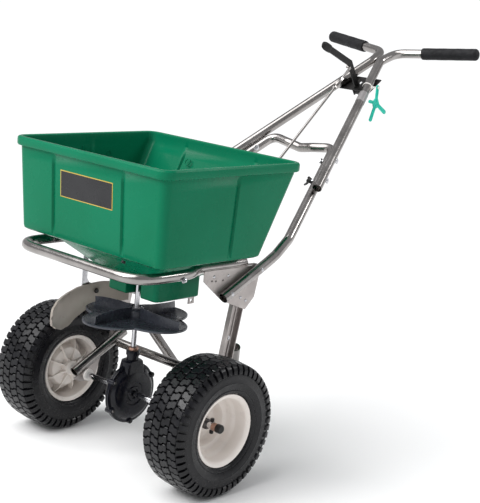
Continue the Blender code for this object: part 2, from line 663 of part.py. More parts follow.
def make_rod():
    step = Vector((ROD_X, 0, 0))
    path = rounded([ROD_TOP - Vector((0.0065, 0, 0)), ROD_TOP + step, ROD_FOOT + step], 0.006, 3)
    bm = bmesh.new()
    add_tube(bm, path, ROD_R, 8)
    finish("control_rod", bm, LOOKS["steel"], ROD_TOP)


# Small pieces

def make_key():
    """A flat four-armed gauge key that hangs from a tie beside the handle."""
    x, thick, hang = 0.0835, 0.004, Vector((0.0835, 0.771, 0.938))
    middle = Vector((0, 0.771, 0.895))
    bm = bmesh.new()
    arms = [(math.radians(250), 0.054, 0.0075), (math.radians(330), 0.056, 0.0075),
            (math.radians(90), 0.050, 0.0065), (math.radians(170), 0.034, 0.0065)]
    outline = []
    for angle, length, half in sorted(arms):
        way, across = Vector((math.cos(angle), math.sin(angle))), Vector((-math.sin(angle), math.cos(angle)))
        for share in ((0.25, -1), (1.0, -1), (1.0, 1), (0.25, 1)):
            outline.append(tuple(Vector((middle.y, middle.z)) + way * length * share[0] + across * half * share[1]))
    add_prism(bm, outline, x, x + thick, "X")
    key = finish("gauge_key", bm, LOOKS["teal"], hang)
    drill(key, (x - 0.01, hang.y, hang.z), (x + 0.01, hang.y, hang.z), 0.003)

    bm = bmesh.new()
    add_turned(bm, [(0, -0.0190), (0.0018, -0.0190), (0.0018, 0.0055), (0.0045, 0.0055), (0.0045, 0.0070),
                    (0, 0.0070)], hang, (1, 0, 0), 10)
    finish("key_tie", bm, LOOKS["nylon"], hang)


def shield_edges(degrees):
    """Lower edge, upper edge and radius of the side shield at one heading."""
    places = [(143, 0.3520, 0.4000, 0.1935), (165, 0.3410, 0.4020, 0.1935), (174, 0.3370, 0.3990, 0.1935),
              (187, 0.3160, 0.3930, 0.1950), (196, 0.2950, 0.3850, 0.1980), (204, 0.2910, 0.3780, 0.2010),
              (211, 0.2980, 0.3710, 0.2040), (217, 0.3100, 0.3600, 0.2065), (221, 0.3260, 0.3460, 0.2080)]
    for before, after in zip(places, places[1:]):
        if degrees <= after[0]:
            share = (degrees - before[0]) / (after[0] - before[0])
            return [a + (b - a) * share for a, b in zip(before[1:], after[1:])]
    return list(places[-1][1:])


def make_deflector():
    """A curved side shield that drops in a round lobe at its front, held by a slotted hanger."""
    thick, headings = 0.003, [143, 154, 165, 174, 180, 187, 192, 196, 200, 204, 208, 211, 214, 217, 219, 221]
    bm = bmesh.new()
    sections = []
    for degrees in headings:
        low, high, radius = shield_edges(degrees)
        angle = math.radians(degrees)
        corners = [(radius, low), (radius + thick, low), (radius + thick, high), (radius, high)]
        sections.append([bm.verts.new((r * math.cos(angle), r * math.sin(angle), z)) for r, z in corners])
    for lower, upper in zip(sections, sections[1:]):
        bridge(bm, lower, upper)
    bm.faces.new(sections[0])
    bm.faces.new(sections[-1])
    shield = finish("deflector", bm, LOOKS["sand"])
    knob_y, knob_z = 0.033, 0.378
    drill(shield, (-0.21, knob_y, knob_z), (-0.18, knob_y, knob_z), 0.0036)

    outline = [(-0.008, FRAME_TUBE_Z - TUBE_R - GAP), (-0.008, 0.336), (0.043, 0.336), (0.043, 0.392),
               (0.016, 0.400), (0.008, 0.412), (0.008, FRAME_TUBE_Z - TUBE_R - GAP)]
    bm = bmesh.new()
    add_prism(bm, outline, -0.2012, -0.1982, "X")
    hanger = finish("deflector_hanger", bm, LOOKS["steel"])
    cut_box(hanger, (-0.21, knob_y - 0.0036, 0.3435), (-0.19, knob_y + 0.0036, knob_z + 0.0038))

    bm = bmesh.new()
    add_turned(bm, [(0, -0.0045), (0.0065, -0.0045), (0.0065, 0), (0.0030, 0), (0.0030, 0.0132), (0.0070, 0.0132),
                    (0.0070, 0.0177), (0, 0.0177)], (-0.1883, knob_y, knob_z), (-1, 0, 0), 12)
    finish("deflector_bolt", bm, LOOKS["black"], (-0.19, knob_y, knob_z))


def centre_on_origin():
    """Move everything along Y so that the box of the pieces is centred over the origin."""
    graph = bpy.context.evaluated_depsgraph_get()
    reach = []
    for piece in bpy.data.objects:
        if not piece.hide_render:
            mesh = piece.evaluated_get(graph).to_mesh()
            reach += [(piece.matrix_world @ v.co).y for v in mesh.vertices]
    middle = (min(reach) + max(reach)) / 2
    for piece in bpy.data.objects:
        piece.location.y -= middle


clear_scene()
LOOKS = make_looks()
make_hopper()
make_gate()
make_shaft()
make_impeller()
make_gears()
make_gearbox()
make_axle()
make_front_tube()
make_stand()
make_lower_handle()
for SIDE_NAME, SIDE in (("left", -1), ("right", 1)):
    make_tyre(f"tyre_{SIDE_NAME}", SIDE)
    make_rim(f"rim_{SIDE_NAME}", SIDE)
    make_side(SIDE_NAME, SIDE)
    make_upper_handle(SIDE_NAME, SIDE)
    make_handle_bolts(SIDE_NAME, SIDE)
make_lever()
make_bracket()
make_rod()
make_key()
make_deflector()
bpy.context.view_layer.update()
centre_on_origin()
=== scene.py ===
"""Looks of the push broadcast spreader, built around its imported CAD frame. Metres, +Z up."""
from math import copysign, cos, pi, radians, sin, sqrt, tan

import bmesh
import bpy
from mathutils import Matrix, Vector


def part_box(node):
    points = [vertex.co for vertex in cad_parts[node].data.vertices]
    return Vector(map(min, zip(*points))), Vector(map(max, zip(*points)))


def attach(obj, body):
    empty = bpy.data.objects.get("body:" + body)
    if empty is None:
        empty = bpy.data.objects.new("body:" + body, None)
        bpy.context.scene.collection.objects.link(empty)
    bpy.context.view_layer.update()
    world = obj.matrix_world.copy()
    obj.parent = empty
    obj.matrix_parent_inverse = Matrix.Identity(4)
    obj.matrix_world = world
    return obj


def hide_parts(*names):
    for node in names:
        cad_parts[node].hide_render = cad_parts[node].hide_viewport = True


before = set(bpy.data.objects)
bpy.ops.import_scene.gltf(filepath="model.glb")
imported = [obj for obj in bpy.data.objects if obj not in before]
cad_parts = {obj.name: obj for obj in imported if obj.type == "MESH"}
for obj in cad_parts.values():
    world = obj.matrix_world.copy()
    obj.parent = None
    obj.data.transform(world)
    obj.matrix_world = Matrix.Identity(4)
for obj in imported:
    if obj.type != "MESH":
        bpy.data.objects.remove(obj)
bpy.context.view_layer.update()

# Places taken from the frame
AXLE_LOW, AXLE_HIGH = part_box("axle")
SHIFT = Vector((0, (AXLE_LOW.y + AXLE_HIGH.y) / 2, 0))
AXLE_Z = (AXLE_LOW.z + AXLE_HIGH.z) / 2
TYRE_LOW, TYRE_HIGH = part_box("tyre_right")
WHEEL_X = (TYRE_LOW.x + TYRE_HIGH.x) / 2
TYRE_R = AXLE_Z
HOPPER_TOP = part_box("hopper")[1].z
NECK_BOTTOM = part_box("hopper")[0].z
IMPELLER_LOW, IMPELLER_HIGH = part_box("impeller")
IMPELLER_R = (IMPELLER_HIGH.x - IMPELLER_LOW.x) / 2

# Sizes that the pieces share, laid out with the axle at y = 0 and moved by SHIFT
TUBE_R = 0.0127
SIDES = (("left", -1), ("right", 1))
OVERLAP = Vector((0.152, 0.509, 0.7495))
NECK_WELD = Vector((0.0131, 0.867, 1.004))
GRIP_ROOT = Vector((0.025, 0.9239, 1.0288))
GRIP_END = Vector((0.26, 0.9812, 1.0521))
HANDLE_RUN = (NECK_WELD - OVERLAP).normalized()
HANDLE_SIDE = (Vector((1, 0, 0)) - HANDLE_RUN.x * HANDLE_RUN).normalized()
HANDLE_UNDER = HANDLE_RUN.cross(HANDLE_SIDE)
TUBE_PITCH = 2 * TUBE_R + 0.0008
NEST_ANGLE = radians(38)
NEST = TUBE_PITCH * (sin(NEST_ANGLE) * HANDLE_UNDER - cos(NEST_ANGLE) * HANDLE_SIDE)
BOLT_LINE = OVERLAP + NEST.dot(HANDLE_UNDER) / 2 * HANDLE_UNDER
HANDLE_BOLT_AT = 0.017
HANDLE_WING_AT = -0.064
HANDLE_X = 0.2165
GUARD_X = 0.217
PLATE_X = 0.2005
LEG_FACE_X = 0.1893
ROD_TOP = Vector((0.0, 0.7405, 0.9853))
ROD_FOOT = Vector((0.0, 0.143, 0.425))
ROD_X = 0.0075
ROD_R = 0.0038
BOLT_R = 0.0036
CASING_BOLT_RING = 0.0735
TREAD_BASE = 0.0072
RIM_BORE = 0.0083

# The hopper: half width, front y, rear y and corner radius at three levels, and the heights between them
HOPPER_BASE = (0.2495, -0.1774, 0.164, 0.02)
HOPPER_MOUTH = (0.2587, -0.192, 0.2545, 0.022)
NECK_SIZE = (0.0875, -0.023, 0.13)
WALL_LOW, WALL_HIGH = 0.558, 0.7545
WALL, GROOVE, NECK_ROOF = 0.0038, 0.006, 0.4745

# Studio
WORLD_LIGHT = 0.44
WORLD_TINT = (0.97, 0.98, 1.0, 1)
SUN_LIGHT = 3.0
SUN_SPREAD = 60
SUN_WAY = (0.35, 0.65, -1.0)
LAMPS = (("key_light", (-0.6, -2.6, 2.2), 26, 0.9), ("rim_light", (1.8, 1.6, 2.4), 18, 0.7))
LAMP_AIM = Vector((0, 0, 0.55))
FLOOR_HALF = 60.0
SKIRT_HALF, SKIRT_TOP = 700.0, 60.0
CAMERA_PLACE = Vector((2.2086, -2.1231, 1.1948))
CAMERA_RIGHT = Vector((0.7307, 0.67617, 0.0942))
CAMERA_UP = Vector((-0.2088, 0.08997, 0.97381))
CAMERA_BACK = Vector((0.64999, -0.73123, 0.20693))
LENS, SENSOR = 91.69, 36


# Materials

def link(tree, start, end):
    """Join an output socket to an input socket."""
    tree.links.new(start, end)


def noise(tree, scale, detail=4.0, rough=0.5):
    """A noise texture on the piece's own coordinates."""
    place = tree.nodes.new("ShaderNodeTexCoord")
    texture = tree.nodes.new("ShaderNodeTexNoise")
    texture.inputs["Scale"].default_value = scale
    texture.inputs["Detail"].default_value = detail
    texture.inputs["Roughness"].default_value = rough
    link(tree, place.outputs["Object"], texture.inputs["Vector"])
    return texture.outputs["Fac"]


def ramp(tree, source, low, high, start=0.35, stop=0.65):
    """Spread a 0 to 1 value between two numbers or two colours."""
    made = tree.nodes.new("ShaderNodeValToRGB")
    made.color_ramp.elements[0].position = start
    made.color_ramp.elements[1].position = stop
    for element, value in zip(made.color_ramp.elements, (low, high)):
        element.color = (*value, 1) if isinstance(value, tuple) else (value, value, value, 1)
    link(tree, source, made.inputs["Fac"])
    return made.outputs["Color"]


def surface(name, light, dark, rough, metallic=0.0, patch=6.0, grain=400.0, bump=0.1, depth=0.0004,
            speck=0.0, shine=0.25):
    """A shader with mottled colour, uneven gloss and a fine grain."""
    made = bpy.data.materials.new(name)
    made.use_nodes = True
    tree = made.node_tree
    shader = tree.nodes["Principled BSDF"]
    shader.inputs["Metallic"].default_value = metallic
    shader.inputs["Specular IOR Level"].default_value = 0.5 if metallic else shine
    colour = ramp(tree, noise(tree, patch, 5.0), dark, light)
    if speck:
        mix = tree.nodes.new("ShaderNodeMix")
        mix.data_type = "RGBA"
        dust = tuple(min(1.0, c + speck) for c in light)
        mix.inputs["B"].default_value = (*dust, 1)
        link(tree, ramp(tree, noise(tree, patch * 9, 8.0, 0.7), 0.0, 1.0, 0.52, 0.78), mix.inputs["Factor"])
        link(tree, colour, mix.inputs["A"])
        colour = mix.outputs["Result"]
    link(tree, colour, shader.inputs["Base Color"])
    link(tree, ramp(tree, noise(tree, patch * 3, 6.0), *rough), shader.inputs["Roughness"])
    fine = tree.nodes.new("ShaderNodeBump")
    fine.inputs["Strength"].default_value = bump
    fine.inputs["Distance"].default_value = depth
    link(tree, noise(tree, grain, 3.0), fine.inputs["Height"])
    link(tree, fine.outputs["Normal"], shader.inputs["Normal"])
    return made


def metal(name, light, dark, rough, metallic=1.0):
    """A metal shader with a barely visible grain."""
    return surface(name, light, dark, rough, metallic, patch=14, grain=500, bump=0.03, depth=0.0002)


def make_looks():
    """Every look by name: light colour, dark colour, roughness range, then the fine settings."""
    return {
        "green": surface("hopper_green", (0.002, 0.158, 0.078), (0.0015, 0.14, 0.066), (0.2, 0.32), patch=5,
                         grain=700, bump=0.06, shine=0.1),
        "stainless": metal("stainless_tube", (0.38, 0.36, 0.35), (0.28, 0.265, 0.255), (0.16, 0.26)),
        "chrome": metal("axle_chrome", (0.78, 0.78, 0.8), (0.7, 0.7, 0.72), (0.07, 0.13)),
        "sheet": metal("stainless_sheet", (0.47, 0.435, 0.42), (0.38, 0.35, 0.34), (0.4, 0.52)),
        "steel": metal("zinc_steel", (0.58, 0.58, 0.6), (0.44, 0.44, 0.46), (0.18, 0.3)),
        "dark_steel": metal("dark_steel", (0.13, 0.12, 0.12), (0.05, 0.05, 0.05), (0.3, 0.45)),
        "black": surface("black_plastic", (0.016, 0.015, 0.015), (0.008, 0.008, 0.008), (0.32, 0.48),
                         patch=18, grain=700, bump=0.12),
        "gearbox": surface("gearbox_plastic", (0.005, 0.0055, 0.011), (0.0025, 0.003, 0.006), (0.16, 0.3),
                           patch=16, grain=500, bump=0.08, shine=0.3),
        "tyre": surface("tyre_rubber", (0.0055, 0.0055, 0.0075), (0.003, 0.003, 0.004), (0.22, 0.38),
                        patch=22, grain=420, bump=0.18, shine=0.3),
        "cream": surface("rim_cream", (0.82, 0.77, 0.73), (0.78, 0.72, 0.67), (0.26, 0.38), patch=7,
                         grain=180, bump=0.03, depth=0.0004, shine=0.4),
        "foam": surface("grip_foam", (0.01, 0.01, 0.012), (0.005, 0.005, 0.006), (0.55, 0.75), patch=40,
                        grain=1400, bump=0.5, depth=0.0005),
        "nylon": surface("white_nylon", (0.8, 0.77, 0.74), (0.7, 0.67, 0.64), (0.35, 0.5), patch=25),
        "bronze": metal("bronze", (0.52, 0.33, 0.26), (0.36, 0.22, 0.17), (0.28, 0.45)),
        "sand": surface("deflector_plastic", (0.4, 0.355, 0.315), (0.3, 0.26, 0.23), (0.26, 0.4), patch=9,
                        grain=500, bump=0.06),
        "teal": surface("key_teal", (0.02, 0.56, 0.42), (0.012, 0.44, 0.33), (0.3, 0.42), patch=40,
                        grain=600, bump=0.1),
        "impeller": surface("impeller_plastic", (0.05, 0.055, 0.072), (0.02, 0.022, 0.031), (0.22, 0.36),
                            patch=14, grain=500, bump=0.12, speck=0.02, shine=0.5),
        "gear": surface("gear_nylon", (0.66, 0.63, 0.54), (0.55, 0.52, 0.44), (0.35, 0.5), patch=25),
        "plate_dark": surface("front_plate_dark", (0.022, 0.022, 0.024), (0.016, 0.016, 0.018),
                              (0.25, 0.35), patch=12, grain=500, bump=0.02),
        "plate_gold": surface("front_plate_gold", (0.56, 0.4, 0.09), (0.48, 0.33, 0.06), (0.28, 0.4),
                              patch=20, grain=500, bump=0.02),
        "wrap": metal("tube_wrap", (0.36, 0.34, 0.34), (0.28, 0.27, 0.27), (0.3, 0.42), 0.5),
    }


# Mesh helpers

def show(name, data):
    """Make an object and put it in the scene."""
    made = bpy.data.objects.new(name, data)
    bpy.context.scene.collection.objects.link(made)
    return made


def to_object(name, bm):
    """Turn a bmesh in layout coordinates into an object in the frame's place."""
    bmesh.ops.recalc_face_normals(bm, faces=bm.faces)
    bmesh.ops.translate(bm, verts=bm.verts, vec=SHIFT)
    mesh = bpy.data.meshes.new(name)
    bm.to_mesh(mesh)
    bm.free()
    return show(name, mesh)


def piece(name, bm, look, body="frame", replaces=(), bevel=0.0, angle=35):
    """Turn a bmesh in layout coordinates into a visible piece that rides on a body."""
    made = to_object(name, bm)
    made.data.materials.append(LOOKS[look])
    made.data.shade_smooth()
    made.data.set_sharp_from_angle(angle=radians(angle))
    if bevel:
        soften(made, bevel)
    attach(made, body)
    if replaces:
        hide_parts(*replaces)
    return made


def soften(obj, width):
    """Round off an object's sharp edges."""
    modifier = obj.modifiers.new("soft_edges", "BEVEL")
    modifier.width = width
    modifier.segments = 2
    modifier.limit_method = "ANGLE"
    modifier.angle_limit = radians(40)
    modifier.harden_normals = False


def ring_frame(axis):
    """Two directions across an axis, and the axis itself."""
    along = Vector(axis).normalized()
    helper = Vector((0, 0, 1)) if abs(along.z) < 0.9 else Vector((0, 1, 0))
    first = helper.cross(along).normalized()
    return first, along.cross(first), along


def ring(bm, centre, axes, radius, count):
    """A circle of points across an axis."""
    first, second, _ = axes
    angles = [2 * pi * step / count for step in range(count)]
    return [bm.verts.new(centre + radius * (cos(a) * first + sin(a) * second)) for a in angles]


def bridge(bm, lower, upper):
    """Join two rings; a ring of one point is a pole."""
    count = max(len(lower), len(upper))
    for step in range(count):
        after = (step + 1) % count
        corners = [lower[step % len(lower)], lower[after % len(lower)], upper[after % len(upper)],
                   upper[step % len(upper)]]
        bm.faces.new(list(dict.fromkeys(corners)))


def loft(bm, rings, closed=False):
    """Join rings in order; a closed loft meets itself, an open one gets a face at each end."""
    for lower, upper in zip(rings, rings[1:]):
        bridge(bm, lower, upper)
    if closed:
        bridge(bm, rings[-1], rings[0])
        return
    for end in (rings[0], rings[-1]):
        if len(end) > 2:
            bm.faces.new(end)


def add_turned(bm, profile, centre, axis, steps):
    """Turn a closed outline of (radius, distance along the axis); radius 0 is a pole."""
    axes = ring_frame(axis)
    rings = []
    for radius, along in profile:
        middle = Vector(centre) + axes[2] * along
        rings.append(ring(bm, middle, axes, radius, steps) if radius else [bm.verts.new(middle)])
    for lower, upper in zip(rings, rings[1:] + rings[:1]):
        if len(lower) + len(upper) > 2:
            bridge(bm, lower, upper)


def add_rod(bm, start, end, radius, steps):
    """A closed cylinder between two points."""
    start, end = Vector(start), Vector(end)
    length = (end - start).length
    add_turned(bm, [(0, 0), (radius, 0), (radius, length), (0, length)], start, end - start, steps)


def add_box(bm, low, high):
    """A box between two opposite corners."""
    for vert in bmesh.ops.create_cube(bm, size=1.0)["verts"]:
        vert.co = Vector([a + (c + 0.5) * (b - a) for a, b, c in zip(low, high, vert.co)])


def add_tube(bm, points, radius, sides, bore=0.0):
    """Sweep a circle along a line; a bore opens both ends by that depth."""
    points = [Vector(p) for p in points]
    ways = [(b - a).normalized() for a, b in zip(points, points[1:])]
    tangents = [ways[0]] + [(a + b).normalized() for a, b in zip(ways, ways[1:])] + [ways[-1]]
    first = ring_frame(tangents[0])[0]
    rings = []
    for point, tangent in zip(points, tangents):
        first = (first - first.dot(tangent) * tangent).normalized()
        rings.append(ring(bm, point, (first, tangent.cross(first), tangent), radius, sides))
    if bore:
        ends = []
        for point, way, outer in ((points[0], ways[0], rings[0]), (points[-1], -ways[-1], rings[-1])):
            inner = radius - 0.0018
            lip = [bm.verts.new(point + (v.co - point) * inner / radius) for v in outer]
            deep = [bm.verts.new(v.co + way * bore) for v in lip]
            ends.append([deep, lip])
        rings = ends[0] + rings + ends[1][::-1]
    loft(bm, rings)


def rounded(points, radius, steps=10):
    """Replace each inner corner of a line by a smooth bend."""
    points = [Vector(p) for p in points]
    line = [points[0]]
    for before, corner, after in zip(points, points[1:], points[2:]):
        back, ahead = before - corner, after - corner
        half = back.angle(ahead) / 2
        cut = min(radius / tan(half), 0.45 * back.length, 0.45 * ahead.length)
        start, end = corner + back.normalized() * cut, corner + ahead.normalized() * cut
        for step in range(steps + 1):
            t = step / steps
            line.append(start * (1 - t) ** 2 + corner * 2 * t * (1 - t) + end * t ** 2)
    return line + [points[-1]]


def mirrored(point, side):
    """A point of the right side, taken to a side: -1 left, 1 right."""
    return Vector((point[0] * side, point[1], point[2]))


def both_sides(right):
    """A line from the left to the right, made from its right half."""
    return [mirrored(p, -1) for p in reversed(right) if p[0]] + [Vector(p) for p in right]


def spoke(angle):
    """The outward and the sideways direction at an angle round the X axis."""
    return Vector((0, cos(angle), sin(angle))), Vector((0, -sin(angle), cos(angle)))


def add_hex_bolt(bm, centre, axis, across=0.0075, height=0.005, washer=0.0095):
    """A washer, a chamfered hexagon head and a short stub of thread."""
    thick, chamfer = 0.0012, 0.0008
    add_turned(bm, [(0, 0), (washer, 0), (washer, thick), (0, thick)], centre, axis, 28)
    add_turned(bm, [(0, thick), (across, thick), (across, thick + height - chamfer),
                    (across - chamfer, thick + height), (0, thick + height)], centre, axis, 6)
    stub = thick + height
    add_turned(bm, [(0, stub), (0.0032, stub), (0.0032, stub + 0.0016), (0.0026, stub + 0.0022),
                    (0, stub + 0.0022)], centre, axis, 14)


def bake_boolean(target, tool, operation):
    """Add or cut a helper solid at once, then drop it."""
    modifier = target.modifiers.new("cut", "BOOLEAN")
    modifier.operation = operation
    modifier.object = tool
    graph = bpy.context.evaluated_depsgraph_get()
    result = bpy.data.meshes.new_from_object(target.evaluated_get(graph))
    target.modifiers.remove(modifier)
    target.data = result
    bpy.data.objects.remove(tool, do_unlink=True)


def helper_box(low, high):
    """A plain box used only to shape another piece."""
    bm = bmesh.new()
    add_box(bm, low, high)
    return to_object("helper", bm)


# Hopper

def wall_run(start, end, outward, grooves, depth, reach):
    """Points along one straight wall, with vertical grooves pressed in at some of them."""
    half_top, half_floor = 0.0072 * reach, 0.0036 * reach
    spots = []
    for middle in grooves:
        spots += [(middle - half_top, 0.0), (middle - half_floor, depth), (middle + half_floor, depth),
                  (middle + half_top, 0.0)]
    along = (end - start).normalized()
    return [start + along * distance - outward * sink for distance, sink in spots]


def hopper_ring(bm, half_x, y_low, y_high, corner, z, depth, steps=7):
    """One level of the hopper: a rectangle with round corners and grooved walls."""
    front_x = min(0.122, 0.6 * (half_x - corner))
    side_y = min(0.045, (y_low + y_high) / 2 + 0.25 * (y_high - y_low - 2 * corner))
    reach = min(1.0, (half_x - corner) / 0.17)
    corners = [((half_x - corner, y_high - corner), 0), ((corner - half_x, y_high - corner), 1),
               ((corner - half_x, y_low + corner), 2), ((half_x - corner, y_low + corner), 3)]
    points = []
    for (x, y), quarter in corners:
        for step in range(steps + 1):
            angle = pi / 2 * (quarter + step / steps)
            points.append(Vector((x + corner * cos(angle), y + corner * sin(angle), z)))
        begin = points[-1]
        if quarter == 0:
            end, out = Vector((corner - half_x, y_high, z)), Vector((0, 1, 0))
            spots = [begin.x - front_x, begin.x + front_x]
        elif quarter == 1:
            end, out = Vector((-half_x, y_low + corner, z)), Vector((-1, 0, 0))
            spots = [begin.y - side_y]
        elif quarter == 2:
            end, out = Vector((half_x - corner, y_low, z)), Vector((0, -1, 0))
            spots = [-front_x - begin.x, front_x - begin.x]
        else:
            end, out = Vector((half_x, y_high - corner, z)), Vector((1, 0, 0))
            spots = [side_y - begin.y]
        points += wall_run(begin, end, out, spots, depth, reach)
    return [bm.verts.new(p) for p in points]


def wall_level(share, out=0.0):
    """Size of the box between its base (0) and its mouth (1), grown outwards."""
    half_x, low, high, corner = [a + (b - a) * share for a, b in zip(HOPPER_BASE, HOPPER_MOUTH)]
    return half_x + out, low - out, high + out, corner + out


def wall_rows(shares, out=0.0):
    """Grooved levels of the wall; the grooves fade out at its ends."""
    fade = {0.94: 0.7, 0.06: 0.7, 0.0: 0.2}
    rows = []
    for share in shares:
        z = WALL_LOW + share * (WALL_HIGH - WALL_LOW)
        rows.append((*wall_level(share, out), z, GROOVE * fade.get(share, 1.0)))
    return rows


def hopper_outside():
    """Levels of the outer surface, from the neck's foot up to the rolled rim."""
    x, front, rear = NECK_SIZE
    rows = [(x - 0.003, front + 0.003, rear - 0.003, 0.01, NECK_BOTTOM, 0),
            (*NECK_SIZE, 0.012, NECK_BOTTOM + 0.003, 0), (*NECK_SIZE, 0.012, 0.468, 0),
            (x + 0.003, front - 0.003, rear + 0.003, 0.013, 0.472, 0),
            (0.112, -0.057, 0.147, 0.014, 0.48, 0), (0.165, -0.127, 0.15, 0.017, 0.534, 0),
            (0.172, -0.133, 0.151, 0.018, 0.5395, 0), (0.232, -0.16, 0.15, 0.018, 0.5465, 0),
            (0.242, -0.17, 0.157, 0.019, 0.549, 0), (*wall_level(0, -0.0022), 0.5525, 0)]
    rows += wall_rows((0.0, 0.06, 0.12, 0.5, 0.86, 0.94))
    rows.append((*wall_level(1.0), WALL_HIGH, 0))
    rim = [(0.005, 0.755), (0.0092, 0.7565), (0.0108, 0.7595), (0.011, 0.768), (0.0108, 0.7735),
           (0.0085, 0.7768), (0.005, HOPPER_TOP), (0.0005, HOPPER_TOP - 0.0003),
           (-0.0028, HOPPER_TOP - 0.0022), (-0.0038, 0.77)]
    return rows + [(*wall_level(1.0, out), z, 0) for out, z in rim]


def hopper_inside():
    """Levels of the inner surface, from the rim down to the neck's floor."""
    x, front, rear = NECK_SIZE
    throat = (x - WALL, front + WALL, rear - WALL, 0.009)
    rows = [(*wall_level(1.0, -WALL), WALL_HIGH, 0)]
    rows += wall_rows((0.94, 0.86, 0.5, 0.12, 0.06, 0.0), -WALL)
    return rows + [(0.236, -0.164, 0.151, 0.015, 0.5535, 0), (0.168, -0.129, 0.147, 0.014, 0.5435, 0),
                   (0.108, -0.053, 0.143, 0.011, 0.4835, 0), (*throat, NECK_ROOF, 0),
                   (*throat, NECK_BOTTOM + WALL, 0)]


def make_hopper():
    """The moulded box with its funnel floor, and the recess and outlets of its neck."""
    bm = bmesh.new()
    loft(bm, [hopper_ring(bm, *item) for item in hopper_outside() + hopper_inside()])
    hopper = piece("hopper_shell", bm, "green", "frame", ["hopper"], angle=32)
    front = NECK_SIZE[1]
    shapes = [((-0.024, front + 0.002, NECK_BOTTOM + 0.002), (0.038, 0.016, NECK_ROOF + WALL), "UNION"),
              ((-0.02, front - 0.01, NECK_BOTTOM - 0.01), (0.034, 0.012, NECK_ROOF), "DIFFERENCE"),
              ((-0.008, -0.008, NECK_ROOF - 0.01), (0.008, 0.008, NECK_ROOF + 0.01), "DIFFERENCE"),
              ((-0.03, 0.03, NECK_BOTTOM - 0.01), (0.03, 0.085, NECK_BOTTOM + 0.01), "DIFFERENCE")]
    for low, high, operation in shapes:
        bake_boolean(hopper, helper_box(low, high), operation)
    make_front_plate()
    make_bosses()
    make_pegs()


def make_front_plate():
    """A blank name plate between the front grooves: a dark field inside a thin gold border."""
    middle_x, half_x, bottom, top = -0.004, 0.092, 0.656, 0.72
    for name, inset, lift, look in (("front_plate_border", 0.0, 0.0004, "plate_gold"),
                                    ("front_plate_field", 0.0022, 0.0007, "plate_dark")):
        bm = bmesh.new()
        rings = []
        for raise_by in (0.0, lift):
            corners = []
            left, right = middle_x - half_x + inset, middle_x + half_x - inset
            for x, z in ((left, bottom + inset), (right, bottom + inset), (right, top - inset),
                         (left, top - inset)):
                wall_y = wall_level((z - WALL_LOW) / (WALL_HIGH - WALL_LOW))[1]
                corners.append(bm.verts.new((x, wall_y - 0.0001 - raise_by, z)))
            rings.append(corners)
        loft(bm, rings)
        piece(name, bm, look, "frame")


def make_bosses():
    """Round moulding marks on the inner faces of the left and rear walls, and a short rib."""
    bm = bmesh.new()
    ring_shape = [(0.0065, 0), (0.009, 0), (0.009, 0.002), (0.0065, 0.002)]
    for y in (-0.075, 0.1):
        add_turned(bm, ring_shape, (-0.2545, y, 0.722), (1, 0, -0.04), 32)
    for x in (-0.09, 0.1):
        add_turned(bm, ring_shape, (x, 0.227, 0.722), (0, -1, 0.42), 32)
    add_box(bm, (-0.2545, 0.0105, 0.69), (-0.25, 0.0135, 0.745))
    piece("hopper_bosses", bm, "green", "frame")


def make_pegs():
    """Black push-in plugs under the front grooves."""
    for word, side in SIDES:
        bm = bmesh.new()
        add_turned(bm, [(0, 0), (0.005, 0), (0.005, 0.004), (0.0035, 0.006), (0, 0.006)],
                   (side * 0.122, -0.169, 0.545), (0, -0.5, -1), 20)
        piece(f"hopper_plug_{word}", bm, "black")


# Wheels

def crown_radius(across):
    """Outer radius of the tread at a distance from the wheel's middle."""
    return TYRE_R - 0.003 * (abs(across) / 0.045) ** 2


def add_block(bm, middle_angle, outline, centre, height, side):
    """One tread block: an outline in (across, around) raised from the carcass, with a chamfer."""
    rings = []
    mean = Vector((sum(p[0] for p in outline), sum(p[1] for p in outline))) / len(outline)
    for sink, grow in ((height, 1.1), (0.0012, 1.0), (0.0, 0.88)):
        verts = []
        for across, around in outline:
            spot = mean + (Vector((across, around)) - mean) * grow
            radius = crown_radius(spot.x) - sink
            angle = middle_angle + spot.y / TYRE_R
            verts.append(bm.verts.new((centre.x + side * spot.x, centre.y + radius * cos(angle),
                                       centre.z + radius * sin(angle))))
        rings.append(verts)
    loft(bm, rings)


def add_tread(bm, centre, side, count=50):
    """Staggered rows of stepped blocks that hook into each other, with lugs over both shoulders."""
    pitch = 2 * pi * TYRE_R / count
    half, wide, nip = pitch * 0.41, 0.0122, 0.0022
    for index in range(count):
        angle = 2 * pi * index / count
        for row, across in enumerate((-0.0395, -0.0132, 0.0132, 0.0395)):
            offset = (row % 2) * pitch / 2
            lean = 0.0024 if row % 2 else -0.0024
            steps = [(-wide, -half - lean + nip), (nip - wide, -half - lean), (-0.0025, -half - lean),
                     (0.0025, -half + lean), (wide - nip, -half + lean), (wide, -half + lean + nip),
                     (wide, half + lean - nip), (wide - nip, half + lean), (0.0025, half + lean),
                     (-0.0025, half - lean), (nip - wide, half - lean), (-wide, half - lean - nip)]
            outline = [(across + x, y) for x, y in steps]
            add_block(bm, angle + offset / TYRE_R, outline, centre, 0.008, side)
        for edge in (-1, 1):
            add_shoulder(bm, angle + (0.5 if edge < 0 else 0.0) * pitch / TYRE_R, centre, edge)


def add_shoulder(bm, middle_angle, centre, edge):
    """A lug that wraps over the shoulder and fades into the side wall."""
    section = [(0.053, 0.005, 0.004), (0.058, 0.0085, 0.0038), (0.0618, 0.015, 0.0026),
               (0.0634, 0.0245, 0.0008)]
    half = 0.0066
    rings = []
    for across, drop, raised in section:
        verts = []
        for around, sink in ((-half, raised + 0.003), (-half, 0.0), (half, 0.0), (half, raised + 0.003)):
            radius = TYRE_R - drop - sink * 0.7
            x = across - sink * 0.6
            angle = middle_angle + around / TYRE_R
            verts.append(bm.verts.new((centre.x + edge * x, centre.y + radius * cos(angle),
                                       centre.z + radius * sin(angle))))
        rings.append(verts)
    loft(bm, rings)


